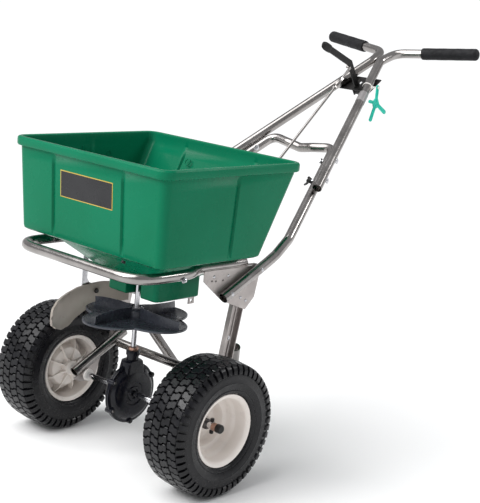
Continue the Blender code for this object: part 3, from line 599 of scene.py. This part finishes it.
def tyre_profile():
    """Half section of the carcass, from the bead out to the crown."""
    bead = [(0.0818, 0.047), (0.0865, 0.05), (0.09, 0.0512), (0.0925, 0.056), (0.0945, 0.0575),
            (0.099, 0.0588), (0.101, 0.058), (0.104, 0.06), (0.115, 0.0618), (0.118, 0.0628), (0.12, 0.062),
            (0.13, 0.0618), (0.14, 0.06), (0.148, 0.056), (0.1535, 0.05)]
    crown = [(crown_radius(x) - TREAD_BASE, x) for x in (0.04, 0.028, 0.014)]
    return bead + crown


def make_wheel(word, side, body):
    """A turf tyre with its tread, and the rim inside it."""
    centre = Vector((side * WHEEL_X, 0, AXLE_Z))
    half = tyre_profile()
    profile = [(r, -x) for r, x in half] + [(crown_radius(0) - TREAD_BASE, 0)]
    profile += [(r, x) for r, x in reversed(half)]
    bm = bmesh.new()
    add_turned(bm, profile, centre, (1, 0, 0), 96)
    add_tread(bm, centre, side)
    piece(f"tyre_{word}_treaded", bm, "tyre", body, [f"tyre_{word}"], angle=30)
    make_rim(word, side, body, centre)


def add_rib(bm, centre, angle, outline, side, half):
    """A flat rib along a spoke: an outline in (distance out, x) with a half thickness."""
    way, across = spoke(angle)
    rings = []
    for shift in (-half, half):
        spots = [centre + way * r + Vector((side * x, 0, 0)) + across * shift for r, x in outline]
        rings.append([bm.verts.new(p) for p in spots])
    loft(bm, rings)


def make_rim(word, side, body, centre):
    """A pressed dish with stepped rings, a deep hub and stiffening ribs on its back."""
    hub, flange, edge = 0.019, 0.0894, 0.0535
    face = [(RIM_BORE, -0.011), (hub - 0.002, -0.011), (hub, -0.013), (0.02, -0.0255), (0.023, -0.029),
            (0.044, -0.0305), (0.0475, -0.0285), (0.05, -0.0225), (0.0535, -0.011), (0.056, -0.0075),
            (0.064, -0.0055), (0.0665, -0.003), (0.069, 0.006), (0.0715, 0.012), (0.0755, 0.015),
            (0.0765, 0.018), (0.0768, 0.044), (0.0785, 0.049), (0.082, 0.0515), (0.086, edge),
            (flange - 0.0008, edge), (flange, edge - 0.001), (flange, 0.0505), (0.0812, 0.0495)]
    back = [(0.0812, -0.0495), (flange, -0.0505), (flange, 0.001 - edge), (flange - 0.0008, -edge),
            (0.0835, 0.001 - edge), (0.079, -0.048), (0.0785, 0.008), (0.076, 0.011), (0.072, 0.009),
            (0.07, -0.004), (0.067, -0.0085), (0.057, -0.011), (0.05, -0.032), (0.046, -0.034),
            (hub, -0.0335), (hub, -0.0505), (hub - 0.0015, -0.052), (RIM_BORE, -0.052)]
    bm = bmesh.new()
    add_turned(bm, [(r, side * x) for r, x in face + back], centre, (1, 0, 0), 72)
    outline = [(0.018, -0.048), (0.018, -0.0335), (0.047, -0.0335), (0.057, -0.0105), (0.069, -0.006),
               (0.077, -0.02), (0.06, -0.033), (0.03, -0.042)]
    for rib in range(8):
        add_rib(bm, centre, 2 * pi * (rib + 0.5) / 8, outline, side, 0.0013)
    piece(f"rim_{word}_dish", bm, "cream", body, [f"rim_{word}"], angle=38)


def make_axle():
    """The round bar, and the parts at both of its ends."""
    end_x = AXLE_HIGH.x
    bm = bmesh.new()
    add_turned(bm, [(0, -end_x), (0.007, -end_x), (0.0078, 0.001 - end_x), (0.0078, end_x - 0.001),
                    (0.007, end_x), (0, end_x)], (0, 0, AXLE_Z), (1, 0, 0), 40)
    piece("axle_round", bm, "chrome", "drive_axle", ["axle"])
    for word, side in SIDES:
        make_axle_end(word, side)


def make_axle_end(word, side):
    """A cross pin with its two caps, a collar and a sleeve at one end of the axle."""
    pin_x, pin_half, bore = 0.286, 0.017, 0.0081
    centre = Vector((side * pin_x, 0, AXLE_Z))
    bm = bmesh.new()
    add_rod(bm, centre - Vector((0, 0, pin_half)), centre + Vector((0, 0, pin_half)), 0.0025, 16)
    piece(f"cross_pin_{word}", bm, "steel", "drive_axle", [f"axle_pin_{word}"])
    for name, end in (("low", -1), ("high", 1)):
        bm = bmesh.new()
        add_turned(bm, [(0, 0), (0.0046, 0), (0.005, 0.001), (0.005, 0.007), (0.0038, 0.0085), (0, 0.0085)],
                   centre + Vector((0, 0, end * 0.0105)), (0, 0, end), 20)
        piece(f"pin_cap_{word}_{name}", bm, "black", "drive_axle")
    bm = bmesh.new()
    add_turned(bm, [(bore, 0), (0.0125, 0), (0.013, 0.0006), (0.013, 0.003), (0.0122, 0.0036),
                    (0.0122, 0.005), (0.0128, 0.0056), (0.0128, 0.0084), (0.0122, 0.009), (bore, 0.009)],
               (side * (WHEEL_X - 0.0105), 0, AXLE_Z), (side, 0, 0), 32)
    piece(f"collar_{word}", bm, "dark_steel", "drive_axle", [f"axle_collar_{word}"])
    bm = bmesh.new()
    add_turned(bm, [(bore, 0), (0.0098, 0), (0.0098, 0.016), (bore, 0.016)],
               (side * (pin_x + 0.0045), 0, AXLE_Z), (side, 0, 0), 32)
    piece(f"sleeve_{word}", bm, "bronze", "drive_axle")


# Frame tubes

def tube_piece(name, path, bend, replaces, radius=TUBE_R):
    """A bent tube with open ends on the frame."""
    bm = bmesh.new()
    add_tube(bm, rounded(path, bend) if bend else path, radius, 24, 0.02)
    piece(name, bm, "stainless", "frame", replaces, angle=50)


def make_frame_tubes():
    """The front guard, the cross tube, the rear stand and the two axle struts."""
    rear_x, z = 0.1865, 0.522
    right = [(GUARD_X, -0.212, z), (GUARD_X, -0.05, z), (rear_x, 0.01, z), (rear_x, 0.172, z)]
    tube_piece("front_guard_tube", both_sides(right), 0.105, ["front_tube"])
    tube_piece("cross_tube_round", [(-0.1608, 0.1, 0.2365), (0.1608, 0.1, 0.2365)], 0, ["cross_tube"],
               0.0115)
    height = 0.0063 + TUBE_R
    right = [(0.03, 0.345, height), (0.1725, 0.185, 0.3)]
    tube_piece("rear_stand_round", both_sides(right), 0.035, ["rear_stand"])
    for word, side in SIDES:
        start, end = Vector((0.1735, -0.036, 0.1735)), Vector((0.1735, 0.128, 0.2607))
        tube_piece(f"axle_strut_{word}_round", [mirrored(start, side), mirrored(end, side)], 0,
                   [f"axle_strut_{word}"], 0.0124)


def make_handles():
    """The lower handle's loop, and the two upper tubes with their grips and fasteners."""
    base = OVERLAP + NEST
    right = [(0.0, 0.5665, 0.7635), (0.045, 0.5665, 0.771), base + 0.083 * HANDLE_RUN,
             base - 0.285 * HANDLE_RUN, (HANDLE_X, 0.252, 0.54), (HANDLE_X, 0.222, 0.5234),
             (HANDLE_X, 0.074, 0.4497)]
    tube_piece("lower_handle_round", both_sides(right), 0.036, ["lower_handle"])
    low = OVERLAP - 0.105 * HANDLE_RUN
    for word, side in SIDES:
        path = [mirrored(p, side) for p in (low, NECK_WELD, GRIP_ROOT, GRIP_END)]
        tube_piece(f"upper_handle_{word}_round", path, 0.045, [f"upper_handle_{word}"])
        make_grip(word, side)
        make_handle_fasteners(word, side)


def make_grip(word, side):
    """A foam sleeve with a round end, slightly uneven along its length."""
    way = mirrored(GRIP_END - GRIP_ROOT, side).normalized()
    length, outer, bore, dome = 0.168, 0.0166, TUBE_R + 0.0003, 0.011
    start = mirrored(GRIP_END, side) - way * (length - 0.0044)
    profile = [(bore, 0.0), (outer - 0.0022, 0.0), (outer - 0.0006, 0.0012), (outer, 0.004)]
    profile += [(outer + 0.0002 * sin(step * 1.7), 0.004 + (length - 0.016) * step / 12)
                for step in range(1, 12)]
    profile += [(outer * cos(a), length - dome + dome * sin(a))
                for a in (radians(15 * step) for step in range(6))]
    profile += [(0, length), (0, length - 0.004), (bore, length - 0.004)]
    bm = bmesh.new()
    add_turned(bm, profile, start, way, 40)
    piece(f"grip_{word}_foam", bm, "foam", "frame", [f"grip_{word}"], angle=40)


def add_dome_bolt(bm, centre, axis, radius=0.0072, height=0.0034):
    """A low round-topped bolt head on a thin washer."""
    arc = [radians(18 * k) for k in range(6)]
    dome = [(radius * cos(a), 0.001 + height * sin(a)) for a in arc[:-1]]
    add_turned(bm, [(0, 0), (radius + 0.0012, 0), (radius + 0.0012, 0.001)] + dome + [(0, 0.001 + height)],
               centre, axis, 28)


def add_wing(bm, base, axis, run):
    """A small wing nut: a tapered hub with two rounded ears along the tube."""
    add_turned(bm, [(0, 0), (0.0075, 0), (0.0075, 0.002), (0.006, 0.005), (0.0054, 0.0105),
                    (0.0035, 0.0125), (0, 0.0125)], base, axis, 28)
    across = axis.cross(run)
    ear = ((0.003, 0.006, 0.0022, 0.004), (0.009, 0.0085, 0.002, 0.005), (0.014, 0.011, 0.0018, 0.005),
           (0.0175, 0.0125, 0.001, 0.0028))
    for end in (-1, 1):
        rings = []
        for reach, lift, half_wide, half_tall in ear:
            middle = base + run * (end * reach) + axis * lift
            angles = [2 * pi * step / 12 for step in range(12)]
            rings.append([bm.verts.new(middle + across * half_wide * cos(a) + axis * half_tall * sin(a))
                          for a in angles])
        loft(bm, rings)


def make_handle_fasteners(word, side):
    """Upper joint: bolt and hexagon nut. Lower joint: bolt head outside, black wing nut inside."""
    out = mirrored(HANDLE_SIDE, side)
    run = mirrored(HANDLE_RUN, side)
    bolt = mirrored(BOLT_LINE + HANDLE_BOLT_AT * HANDLE_RUN, side)
    wing = mirrored(BOLT_LINE + HANDLE_WING_AT * HANDLE_RUN, side)
    sunk = 0.0018
    near, far = TUBE_R - sunk, TUBE_R - NEST.dot(HANDLE_SIDE) - sunk
    bm = bmesh.new()
    add_dome_bolt(bm, bolt + out * near, out)
    add_rod(bm, bolt - out * (far + 0.001), bolt + out * (near + 0.001), BOLT_R, 20)
    add_hex_bolt(bm, bolt - out * far, -out, 0.0062, 0.0045, 0.008)
    piece(f"handle_bolt_{word}_set", bm, "steel", "frame", [f"handle_bolt_{word}"])

    bm = bmesh.new()
    add_wing(bm, wing - out * (far + 0.0022), -out, run)
    piece(f"wing_nut_{word}", bm, "black", f"wing_bolt_{word}", [f"handle_wing_{word}"],
          angle=50)
    bm = bmesh.new()
    add_dome_bolt(bm, wing + out * near, out)
    add_rod(bm, wing - out * (far + 0.003), wing + out * (near + 0.001), BOLT_R, 20)
    piece(f"wing_bolt_head_{word}", bm, "steel", f"wing_bolt_{word}")


def make_plate_bolts():
    """Low bolt heads pressed into the handle tube, nuts on the plate's inner face, and the guard's screws."""
    for word, side in SIDES:
        for step, row in ((0, "front"), (1, "rear")):
            spot = Vector((side * (HANDLE_X + TUBE_R - 0.003), 0.094 + 0.1 * step, 0.46 + 0.0495 * step))
            bm = bmesh.new()
            add_dome_bolt(bm, spot, (side, 0, 0), 0.0058, 0.003)
            add_hex_bolt(bm, Vector((side * (PLATE_X - 0.0003), spot.y, spot.z)), (-side, 0, 0), 0.0065,
                         0.0045, 0.0085)
            piece(f"plate_bolt_{row}_{word}_set", bm, "steel", "frame", [f"plate_bolt_{row}_{word}"])
        bm = bmesh.new()
        add_hex_bolt(bm, Vector((side * (GUARD_X + TUBE_R - 0.0004), -0.078, 0.514)), (side, 0, -0.25),
                     0.0052, 0.004, 0.0072)
        piece(f"guard_screw_{word}", bm, "steel")


def make_leg_details():
    """A pressed bead down each leg and the rivets that hold it."""
    for word, side in SIDES:
        top = Vector((side * LEG_FACE_X, 0.157, 0.453))
        bottom = Vector((side * LEG_FACE_X, 0.118, 0.237))
        bm = bmesh.new()
        for shift in (-0.0065, 0.0065):
            add_tube(bm, [bottom + Vector((0, shift, 0)), top + Vector((0, shift, 0))], 0.003, 12)
        piece(f"leg_beads_{word}", bm, "sheet")
        bm = bmesh.new()
        along = (top - bottom).normalized()
        for reach, shift in ((0.085, -0.0135), (0.1, 0.0)):
            spot = bottom + along * reach + Vector((side * 0.0002, shift, 0))
            add_dome_bolt(bm, spot, (side, 0, 0), 0.0046, 0.0026)
        edge = bottom + along * 0.094 + Vector((side * 0.004, 0.0202, 0))
        add_dome_bolt(bm, edge, (0, 1, 0), 0.004, 0.0024)
        piece(f"leg_rivets_{word}", bm, "steel")


def make_plate_lips():
    """A folded lip along the top of each side plate, its rivets, and a row of small holes drawn as flat dark
    discs: painted shade in place of real openings.
    """
    for word, side in SIDES:
        bm = bmesh.new()
        x0, x1 = sorted((side * (PLATE_X + 0.0002), side * (PLATE_X - 0.012)))
        edge = [(0.018, 0.5185), (0.206, 0.5165)]
        outline = edge + [(y, z + 0.0018) for y, z in reversed(edge)]
        loft(bm, [[bm.verts.new((x, y, z)) for y, z in outline] for x in (x0, x1)])
        piece(f"plate_lip_{word}", bm, "sheet")
        bm = bmesh.new()
        for y, z in ((0.15, 0.44), (0.17, 0.43), (0.1, 0.5), (0.05, 0.502)):
            spot = Vector((side * (PLATE_X + 0.0028), y, z))
            dome = [(0, 0)] + [(0.0042 * cos(a), 0.0022 * sin(a))
                               for a in (radians(22 * k) for k in range(4))] + [(0, 0.0022)]
            add_turned(bm, dome, spot, (side, 0, 0), 20)
        piece(f"plate_rivets_{word}", bm, "steel")
        # Painted shade: thin dark discs on the plate face stand in for the shade inside small holes that are
        # not cut.
        bm = bmesh.new()
        for y, z in ((0.0434, 0.4922), (0.0573, 0.4907), (0.0816, 0.4905)):
            add_turned(bm, [(0, 0), (0.0024, 0), (0.0024, 0.0004), (0, 0.0004)],
                       Vector((side * (PLATE_X + 0.0026), y, z)), (side, 0, 0), 16)
        piece(f"plate_hole_shade_{word}", bm, "dark_steel")


# Gear train and impeller

def casing_bolts(x):
    """The six bolt places round the edge of the casing."""
    angles = [radians(60 * boss + 30) for boss in range(6)]
    return [Vector((x, CASING_BOLT_RING * cos(a), AXLE_Z + CASING_BOLT_RING * sin(a))) for a in angles]


def casing_neck(bm, side, depth, gap):
    """Half of the casing's neck: half circles that narrow upwards to a collar."""
    neck_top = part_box("gearbox_left")[1].z
    shoulder = [(AXLE_Z + 0.03, 0.034, 1.0), (AXLE_Z + 0.062, 0.031, 1.0), (AXLE_Z + 0.072, 0.029, 1.0),
                (AXLE_Z + 0.082, 0.027, 1.0), (AXLE_Z + 0.0845, 0.024, 0.9), (AXLE_Z + 0.085, 0.0155, 0.9),
                (neck_top - 0.013, 0.015, 1.0), (neck_top - 0.012, 0.0172, 1.0),
                (neck_top - 0.001, 0.0172, 1.0), (neck_top, 0.0165, 1.0)]
    turn = [pi * k / 18 for k in range(19)]
    rings = []
    for z, radius, flat in shoulder:
        rings.append([bm.verts.new((side * max(gap, min(depth - 0.0008, radius * sin(a) * flat)),
                                    radius * cos(a), z)) for a in turn])
    loft(bm, rings)


def make_gearbox():
    """Both halves of the casing: a domed disc, bolt bosses round its edge, ribs and a tapering neck."""
    gap = 0.0002
    for word, side, depth in (("left", -1, 0.028), ("right", 1, 0.0175)):
        centre = Vector((0, 0, AXLE_Z))
        bm = bmesh.new()
        profile = [(0.0085, gap), (0.076, gap), (0.0775, 0.0012), (0.0775, 0.0045), (0.0745, 0.006),
                   (0.07, 0.0066), (0.066, depth * 0.62), (0.06, depth * 0.88), (0.052, depth),
                   (0.03, depth), (0.028, depth - 0.003), (0.02, depth - 0.003), (0.0185, depth - 0.0005),
                   (0.013, depth - 0.0005), (0.0115, depth - 0.004), (0.0085, depth - 0.004)]
        add_turned(bm, profile, centre, (side, 0, 0), 64)
        for spot in casing_bolts(side * gap):
            add_turned(bm, [(0, 0), (0.0072, 0), (0.007, 0.0105), (0.006, 0.0115), (0.003, 0.0115),
                            (0.003, 0.009), (0, 0.009)], spot, (side, 0, 0), 24)
        outline = [(0.03, depth - 0.002), (0.05, depth + 0.0006), (0.066, depth * 0.66), (0.072, 0.004),
                   (0.03, 0.004)]
        for rib in range(6):
            add_rib(bm, centre, radians(60 * rib), outline, side, 0.0016)
        casing_neck(bm, side, depth, gap)
        piece(f"gearbox_{word}_casing", bm, "gearbox", "frame", [f"gearbox_{word}"],
              angle=35)
        bm = bmesh.new()
        for spot in casing_bolts(side * 0.0093):
            add_turned(bm, [(0, 0), (0.004, 0), (0.004, 0.004), (0.0034, 0.0048), (0, 0.0048)], spot,
                       (side, 0, 0), 6)
        piece(f"gearbox_{word}_screws", bm, "dark_steel")


def lobe_radius(angle):
    """Four round lobes with narrow waists between them."""
    swing = 0.5 + 0.5 * cos(4 * angle)
    return IMPELLER_R * (0.72 + 0.28 * swing ** 0.55)


def make_impeller():
    """A lobed disc with a rolled rim, four tall swept fins and a hub."""
    low, bore, hub, count = IMPELLER_LOW.z + 0.018, 0.0068, 0.016, 144
    rings = []
    bm = bmesh.new()
    section = [(0.0, 0.0), (1.0, 0.0), (1.0, 0.0042), (0.975, 0.0058), (0.95, 0.0042), (0.93, 0.003),
               (0.0, 0.003)]
    for share, height in section:
        ring_verts = []
        for step in range(count):
            angle = 2 * pi * step / count
            radius = hub + (lobe_radius(angle) - hub) * share
            ring_verts.append(bm.verts.new((radius * cos(angle), radius * sin(angle), low + height)))
        rings.append(ring_verts)
    loft(bm, rings, closed=True)
    add_turned(bm, [(bore, -0.018), (0.0165, -0.018), (0.0185, -0.016), (0.019, 0.0), (0.019, 0.016),
                    (0.017, 0.02), (0.012, 0.021), (0.012, 0.025), (bore, 0.025)], (0, 0, low), (0, 0, 1),
               40)
    for quarter in range(4):
        add_fin(bm, pi / 2 * quarter, low)
    piece("impeller_moulded", bm, "impeller", "impeller_shaft", ["impeller"], angle=40)
    bm = bmesh.new()
    add_rod(bm, (-0.0215, 0, low + 0.0105), (0.0215, 0, low + 0.0105), 0.0022, 14)
    add_tube(bm, rounded([(0.02, 0.0, low + 0.0105), (0.02, 0.006, low + 0.014), (0.02, 0.004, low + 0.03),
                          (0.02, -0.003, low + 0.034)], 0.004, 6), 0.001, 10)
    piece("impeller_clip", bm, "steel", "impeller_shaft")


def add_fin(bm, turn, low):
    """A tall fin that sweeps back towards its tip."""
    rings = []
    for step in range(9):
        t = step / 8
        radius = 0.016 + t * (IMPELLER_R - 0.026)
        angle = turn - 0.1 + 0.16 * t * t
        height = 0.0285 - 0.006 * t ** 2
        half = 0.0021 - 0.0006 * t
        way = Vector((cos(angle), sin(angle), 0))
        across = Vector((-sin(angle), cos(angle), 0))
        foot = way * radius + Vector((0, 0, low + 0.001))
        top = foot + Vector((0, 0, height)) + across * 0.0015
        rings.append([bm.verts.new(p) for p in (foot - across * half, foot + across * half,
                                                foot + across * half + Vector((0, 0, height * 0.5)),
                                                top + across * half * 0.7, top - across * half * 0.7,
                                                foot - across * half + Vector((0, 0, height * 0.5)))])
    loft(bm, rings)


def shield_edges(degrees):
    """Lower edge, upper edge and radius of the side shield at one heading."""
    places = [(143, 0.352, 0.4, 0.1935), (165, 0.341, 0.402, 0.1935), (174, 0.337, 0.399, 0.1935),
              (187, 0.316, 0.393, 0.195), (196, 0.295, 0.385, 0.198), (204, 0.291, 0.378, 0.201),
              (211, 0.298, 0.371, 0.204), (217, 0.31, 0.36, 0.2065), (221, 0.326, 0.346, 0.208)]
    for before, after in zip(places, places[1:]):
        if degrees <= after[0]:
            share = (degrees - before[0]) / (after[0] - before[0])
            share = share * share * (3 - 2 * share) * 0.4 + share * 0.6
            return [a + (b - a) * share for a, b in zip(before[1:], after[1:])]
    return list(places[-1][1:])


def make_deflector():
    """The side shield: a curved band that drops in a round lobe at its front, with a thin rolled edge."""
    thick, start, stop, steps = 0.003, 143.0, 221.6, 60
    bm = bmesh.new()
    rings = []
    for step in range(steps + 1):
        degrees = start + (stop - start) * (1 - (1 - step / steps) ** 1.5)
        low, high, radius = shield_edges(min(degrees, 221))
        if degrees > 217:
            squeeze = sqrt(max(0.02, 1 - ((degrees - 217) / 4.7) ** 2))
            low, high, radius = shield_edges(217)
            middle = (low + high) / 2
            low, high = middle + (low - middle) * squeeze, middle + (high - middle) * squeeze
            radius += 0.0016 * (degrees - 217) / 4.6
        angle = radians(degrees)
        span = high - low
        lip = min(0.004, span * 0.2)
        section = [(0.0, low + lip), (0.0006, low + 0.5 * span), (0.0, high - lip),
                   (-0.0022, high - 0.4 * lip), (-0.0022, high), (thick, high), (thick, low),
                   (-0.0022, low), (-0.0022, low + 0.4 * lip)]
        spots = [((radius + r) * cos(angle), (radius + r) * sin(angle), z) for r, z in section]
        rings.append([bm.verts.new(p) for p in spots])
    loft(bm, rings)
    piece("side_shield", bm, "sand", "side_deflector", ["deflector"], angle=50)
    bm = bmesh.new()
    knob = Vector((-0.1883, 0.033, 0.378))
    add_turned(bm, [(0, -0.0042), (0.0052, -0.0038), (0.0068, -0.0012), (0.0068, 0.0), (0, 0.0)], knob,
               (-1, 0, 0), 28)
    add_turned(bm, [(0, 0.0132), (0.0075, 0.0132), (0.0075, 0.018), (0, 0.018)], knob, (-1, 0, 0), 6)
    add_rod(bm, knob, knob - Vector((0.019, 0, 0)), 0.0028, 14)
    piece("shield_bolt", bm, "black", "side_deflector", ["deflector_bolt"])


# Control

def make_control():
    """The control rod with a bent head and two hexagon nuts."""
    step = Vector((ROD_X, 0, 0))
    path = rounded([ROD_TOP - Vector((0.0065, 0, 0)), ROD_TOP + step, ROD_FOOT + step], 0.006, 8)
    bm = bmesh.new()
    add_tube(bm, path, ROD_R, 20)
    along = (ROD_FOOT - ROD_TOP).normalized()
    for start, length in ((0.045, 0.028), (0.08, 0.008)):
        add_turned(bm, [(0, 0), (0.0058, 0), (0.0062, 0.001), (0.0062, length - 0.001), (0.0058, length),
                        (0, length)], ROD_TOP + step + along * start, along, 6)
    piece("control_rod_round", bm, "stainless", "rod", ["control_rod"], angle=40)


def make_lever_grip():
    """A flat moulded sleeve over the end of the lever."""
    low, high = Vector((0, 0.745, 0.996)), Vector((0, 0.65, 1.032))
    way = (high - low).normalized()
    up = Vector((1, 0, 0)).cross(way)
    section = ((-0.002, 0.0092, 0.0038), (0.0, 0.0108, 0.0052), (0.012, 0.0118, 0.0058),
               (0.026, 0.0112, 0.0054), (0.034, 0.0085, 0.0044), (0.0375, 0.004, 0.0022))
    rings = []
    bm = bmesh.new()
    for reach, half_wide, half_thick in section:
        verts = []
        for k in range(20):
            east, north = cos(2 * pi * k / 20), sin(2 * pi * k / 20)
            wide = half_wide * copysign(abs(north) ** 0.8, north)
            thick = half_thick * copysign(abs(east) ** 0.6, east)
            verts.append(bm.verts.new(high + way * reach + Vector((thick, 0, 0)) + up * wide))
        rings.append(verts)
    loft(bm, rings)
    piece("lever_grip_flat", bm, "black", "lever_arm", ["lever_knob"], angle=50)


def key_outline(middle, arms):
    """The key's flat outline, arm after arm, with round tips."""
    outline = []
    for degrees, length, half in arms:
        way, across = spoke(radians(degrees))
        root, narrow = middle + way * 0.014, half * 0.8
        outline.append(root - across * half * 0.72)
        for k in range(9):
            turn = -pi / 2 + pi * k / 8
            outline.append(middle + way * (length - narrow + narrow * cos(turn))
                           + across * narrow * sin(turn))
        outline.append(root + across * half * 0.72)
    return outline


def make_key():
    """A moulded gauge key: four rounded arms round a hub, with a raised rib on each."""
    x, thick, middle = 0.0835, 0.004, Vector((0, 0.771, 0.895))
    arms = [(90, 0.05, 0.0068), (170, 0.034, 0.006), (250, 0.054, 0.0072), (330, 0.056, 0.0072)]
    outline = key_outline(middle, arms)
    bm = bmesh.new()
    loft(bm, [[bm.verts.new(p + Vector((w, 0, 0))) for p in outline] for w in (x, x + thick)])
    section = ((-0.0014, x + 0.003), (0.0014, x + 0.003), (0.001, x + 0.0052), (-0.001, x + 0.0052))
    for degrees, length, _ in arms:
        way, across = spoke(radians(degrees))
        ends = [middle + way * 0.004, middle + way * (length - 0.012)]
        loft(bm, [[bm.verts.new(p + across * s + Vector((w, 0, 0))) for s, w in section] for p in ends])
    piece("gauge_key_moulded", bm, "teal", "hanging_key", ["gauge_key"], bevel=0.0006,
          angle=40)


def make_tube_bands():
    """The tie that carries the key, and a blank band below it, both round the right upper tube."""
    hang_y = 0.771
    centre = OVERLAP + (hang_y - OVERLAP.y) / HANDLE_RUN.y * HANDLE_RUN
    bm = bmesh.new()
    add_turned(bm, [(TUBE_R + 0.0003, -0.0016), (TUBE_R + 0.0014, -0.0016), (TUBE_R + 0.0014, 0.0016),
                    (TUBE_R + 0.0003, 0.0016)], centre, HANDLE_RUN, 40)
    add_box(bm, (centre.x + TUBE_R + 0.0006, hang_y - 0.0035, centre.z - 0.003),
            (centre.x + TUBE_R + 0.006, hang_y + 0.0035, centre.z + 0.0035))
    piece("tie_strap", bm, "nylon", "frame")
    bm = bmesh.new()
    add_turned(bm, [(TUBE_R + 0.0001, 0), (TUBE_R + 0.0005, 0), (TUBE_R + 0.0005, 0.04),
                    (TUBE_R + 0.0001, 0.04)], centre - HANDLE_RUN * 0.075, HANDLE_RUN, 40)
    piece("tube_wrap_blank", bm, "wrap", "frame")


# CAD pieces whose shape is kept

KEPT = {
    "steel": ["vertical_shaft", "agitator", "shutoff_guide", "deflector_hanger", "lever_pivot_bolt"],
    "sheet": ["shutoff_plate", "side_plate_left", "side_plate_right", "bearing_plate_left",
              "bearing_plate_right", "leg_left", "leg_right"],
    "black": ["lever", "lever_bracket", "stand_foot", "axle_cap_left", "axle_cap_right"],
    "nylon": ["axle_bearing_left", "axle_bearing_right", "key_tie"],
    "bronze": ["shaft_bushing"],
    "gear": ["crown_gear", "pinion_gear"],
}
SOFT_EDGES = {"lever": 0.0009, "lever_bracket": 0.0006, "side_plate_left": 0.0006,
              "side_plate_right": 0.0006, "bearing_plate_left": 0.0007, "bearing_plate_right": 0.0007,
              "leg_left": 0.0006, "leg_right": 0.0006, "shutoff_plate": 0.0005, "shutoff_guide": 0.0005,
              "deflector_hanger": 0.0005, "stand_foot": 0.0015}


def finish_kept():
    """Give the kept CAD pieces their looks and soften their edges."""
    for look, names in KEPT.items():
        for name in names:
            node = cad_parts[name]
            node.data.materials.clear()
            node.data.materials.append(LOOKS[look])
            if name in SOFT_EDGES:
                soften(node, SOFT_EDGES[name])


# Studio

def make_floor():
    """A pale floor whose far edges rise to a skirt."""
    floor = bpy.data.meshes.new("studio_floor")
    corners = [(-1, -1), (1, -1), (1, 1), (-1, 1)]
    places = [(x * size, y * size, height) for size, height in ((FLOOR_HALF, 0.0), (SKIRT_HALF, SKIRT_TOP))
              for x, y in corners]
    skirt = [(i, (i + 1) % 4, (i + 1) % 4 + 4, i + 4) for i in range(4)]
    floor.from_pydata(places, [], [(0, 1, 2, 3)] + skirt)
    floor.materials.append(surface("studio_pale", (0.9, 0.9, 0.9), (0.89, 0.89, 0.89), (0.92, 0.98),
                                   patch=1.5, grain=30, bump=0.01))
    show("studio_floor", floor)


def add_lamp(name, lamp, place, way):
    """Hang a lamp at a place and point it."""
    holder = show(name, lamp)
    holder.location = place
    holder.rotation_euler = Vector(way).to_track_quat("-Z", "Y").to_euler()


def make_lights():
    """An even bright sky, a wide sun and two soft lamps."""
    world = bpy.data.worlds.new("studio")
    bpy.context.scene.world = world
    world.use_nodes = True
    world.node_tree.nodes["Background"].inputs["Color"].default_value = WORLD_TINT
    world.node_tree.nodes["Background"].inputs["Strength"].default_value = WORLD_LIGHT
    sun = bpy.data.lights.new("soft_sun", "SUN")
    sun.energy = SUN_LIGHT
    sun.angle = radians(SUN_SPREAD)
    add_lamp("soft_sun", sun, (0, 0, 0), SUN_WAY)
    for name, place, energy, size in LAMPS:
        lamp = bpy.data.lights.new(name, "AREA")
        lamp.energy = energy
        lamp.size = size
        add_lamp(name, lamp, place, LAMP_AIM - Vector(place))
    bpy.context.scene.view_settings.view_transform = "Standard"


def make_camera():
    """The studio camera, about three metres away, level with the handle."""
    camera = show("studio_camera", bpy.data.cameras.new("studio_camera"))
    camera.data.sensor_width = SENSOR
    camera.data.lens = LENS
    turn = Matrix((CAMERA_RIGHT, CAMERA_UP, CAMERA_BACK)).transposed().to_4x4()
    camera.matrix_world = Matrix.Translation(CAMERA_PLACE + SHIFT) @ turn
    bpy.context.scene.camera = camera


LOOKS = make_looks()
make_camera()
make_floor()
make_lights()
make_hopper()
make_wheel("left", -1, "free_wheel")
make_wheel("right", 1, "drive_axle")
make_axle()
make_frame_tubes()
make_handles()
make_plate_bolts()
make_plate_lips()
make_gearbox()
make_impeller()
make_deflector()
make_control()
make_lever_grip()
make_key()
make_tube_bands()
make_leg_details()
finish_kept()
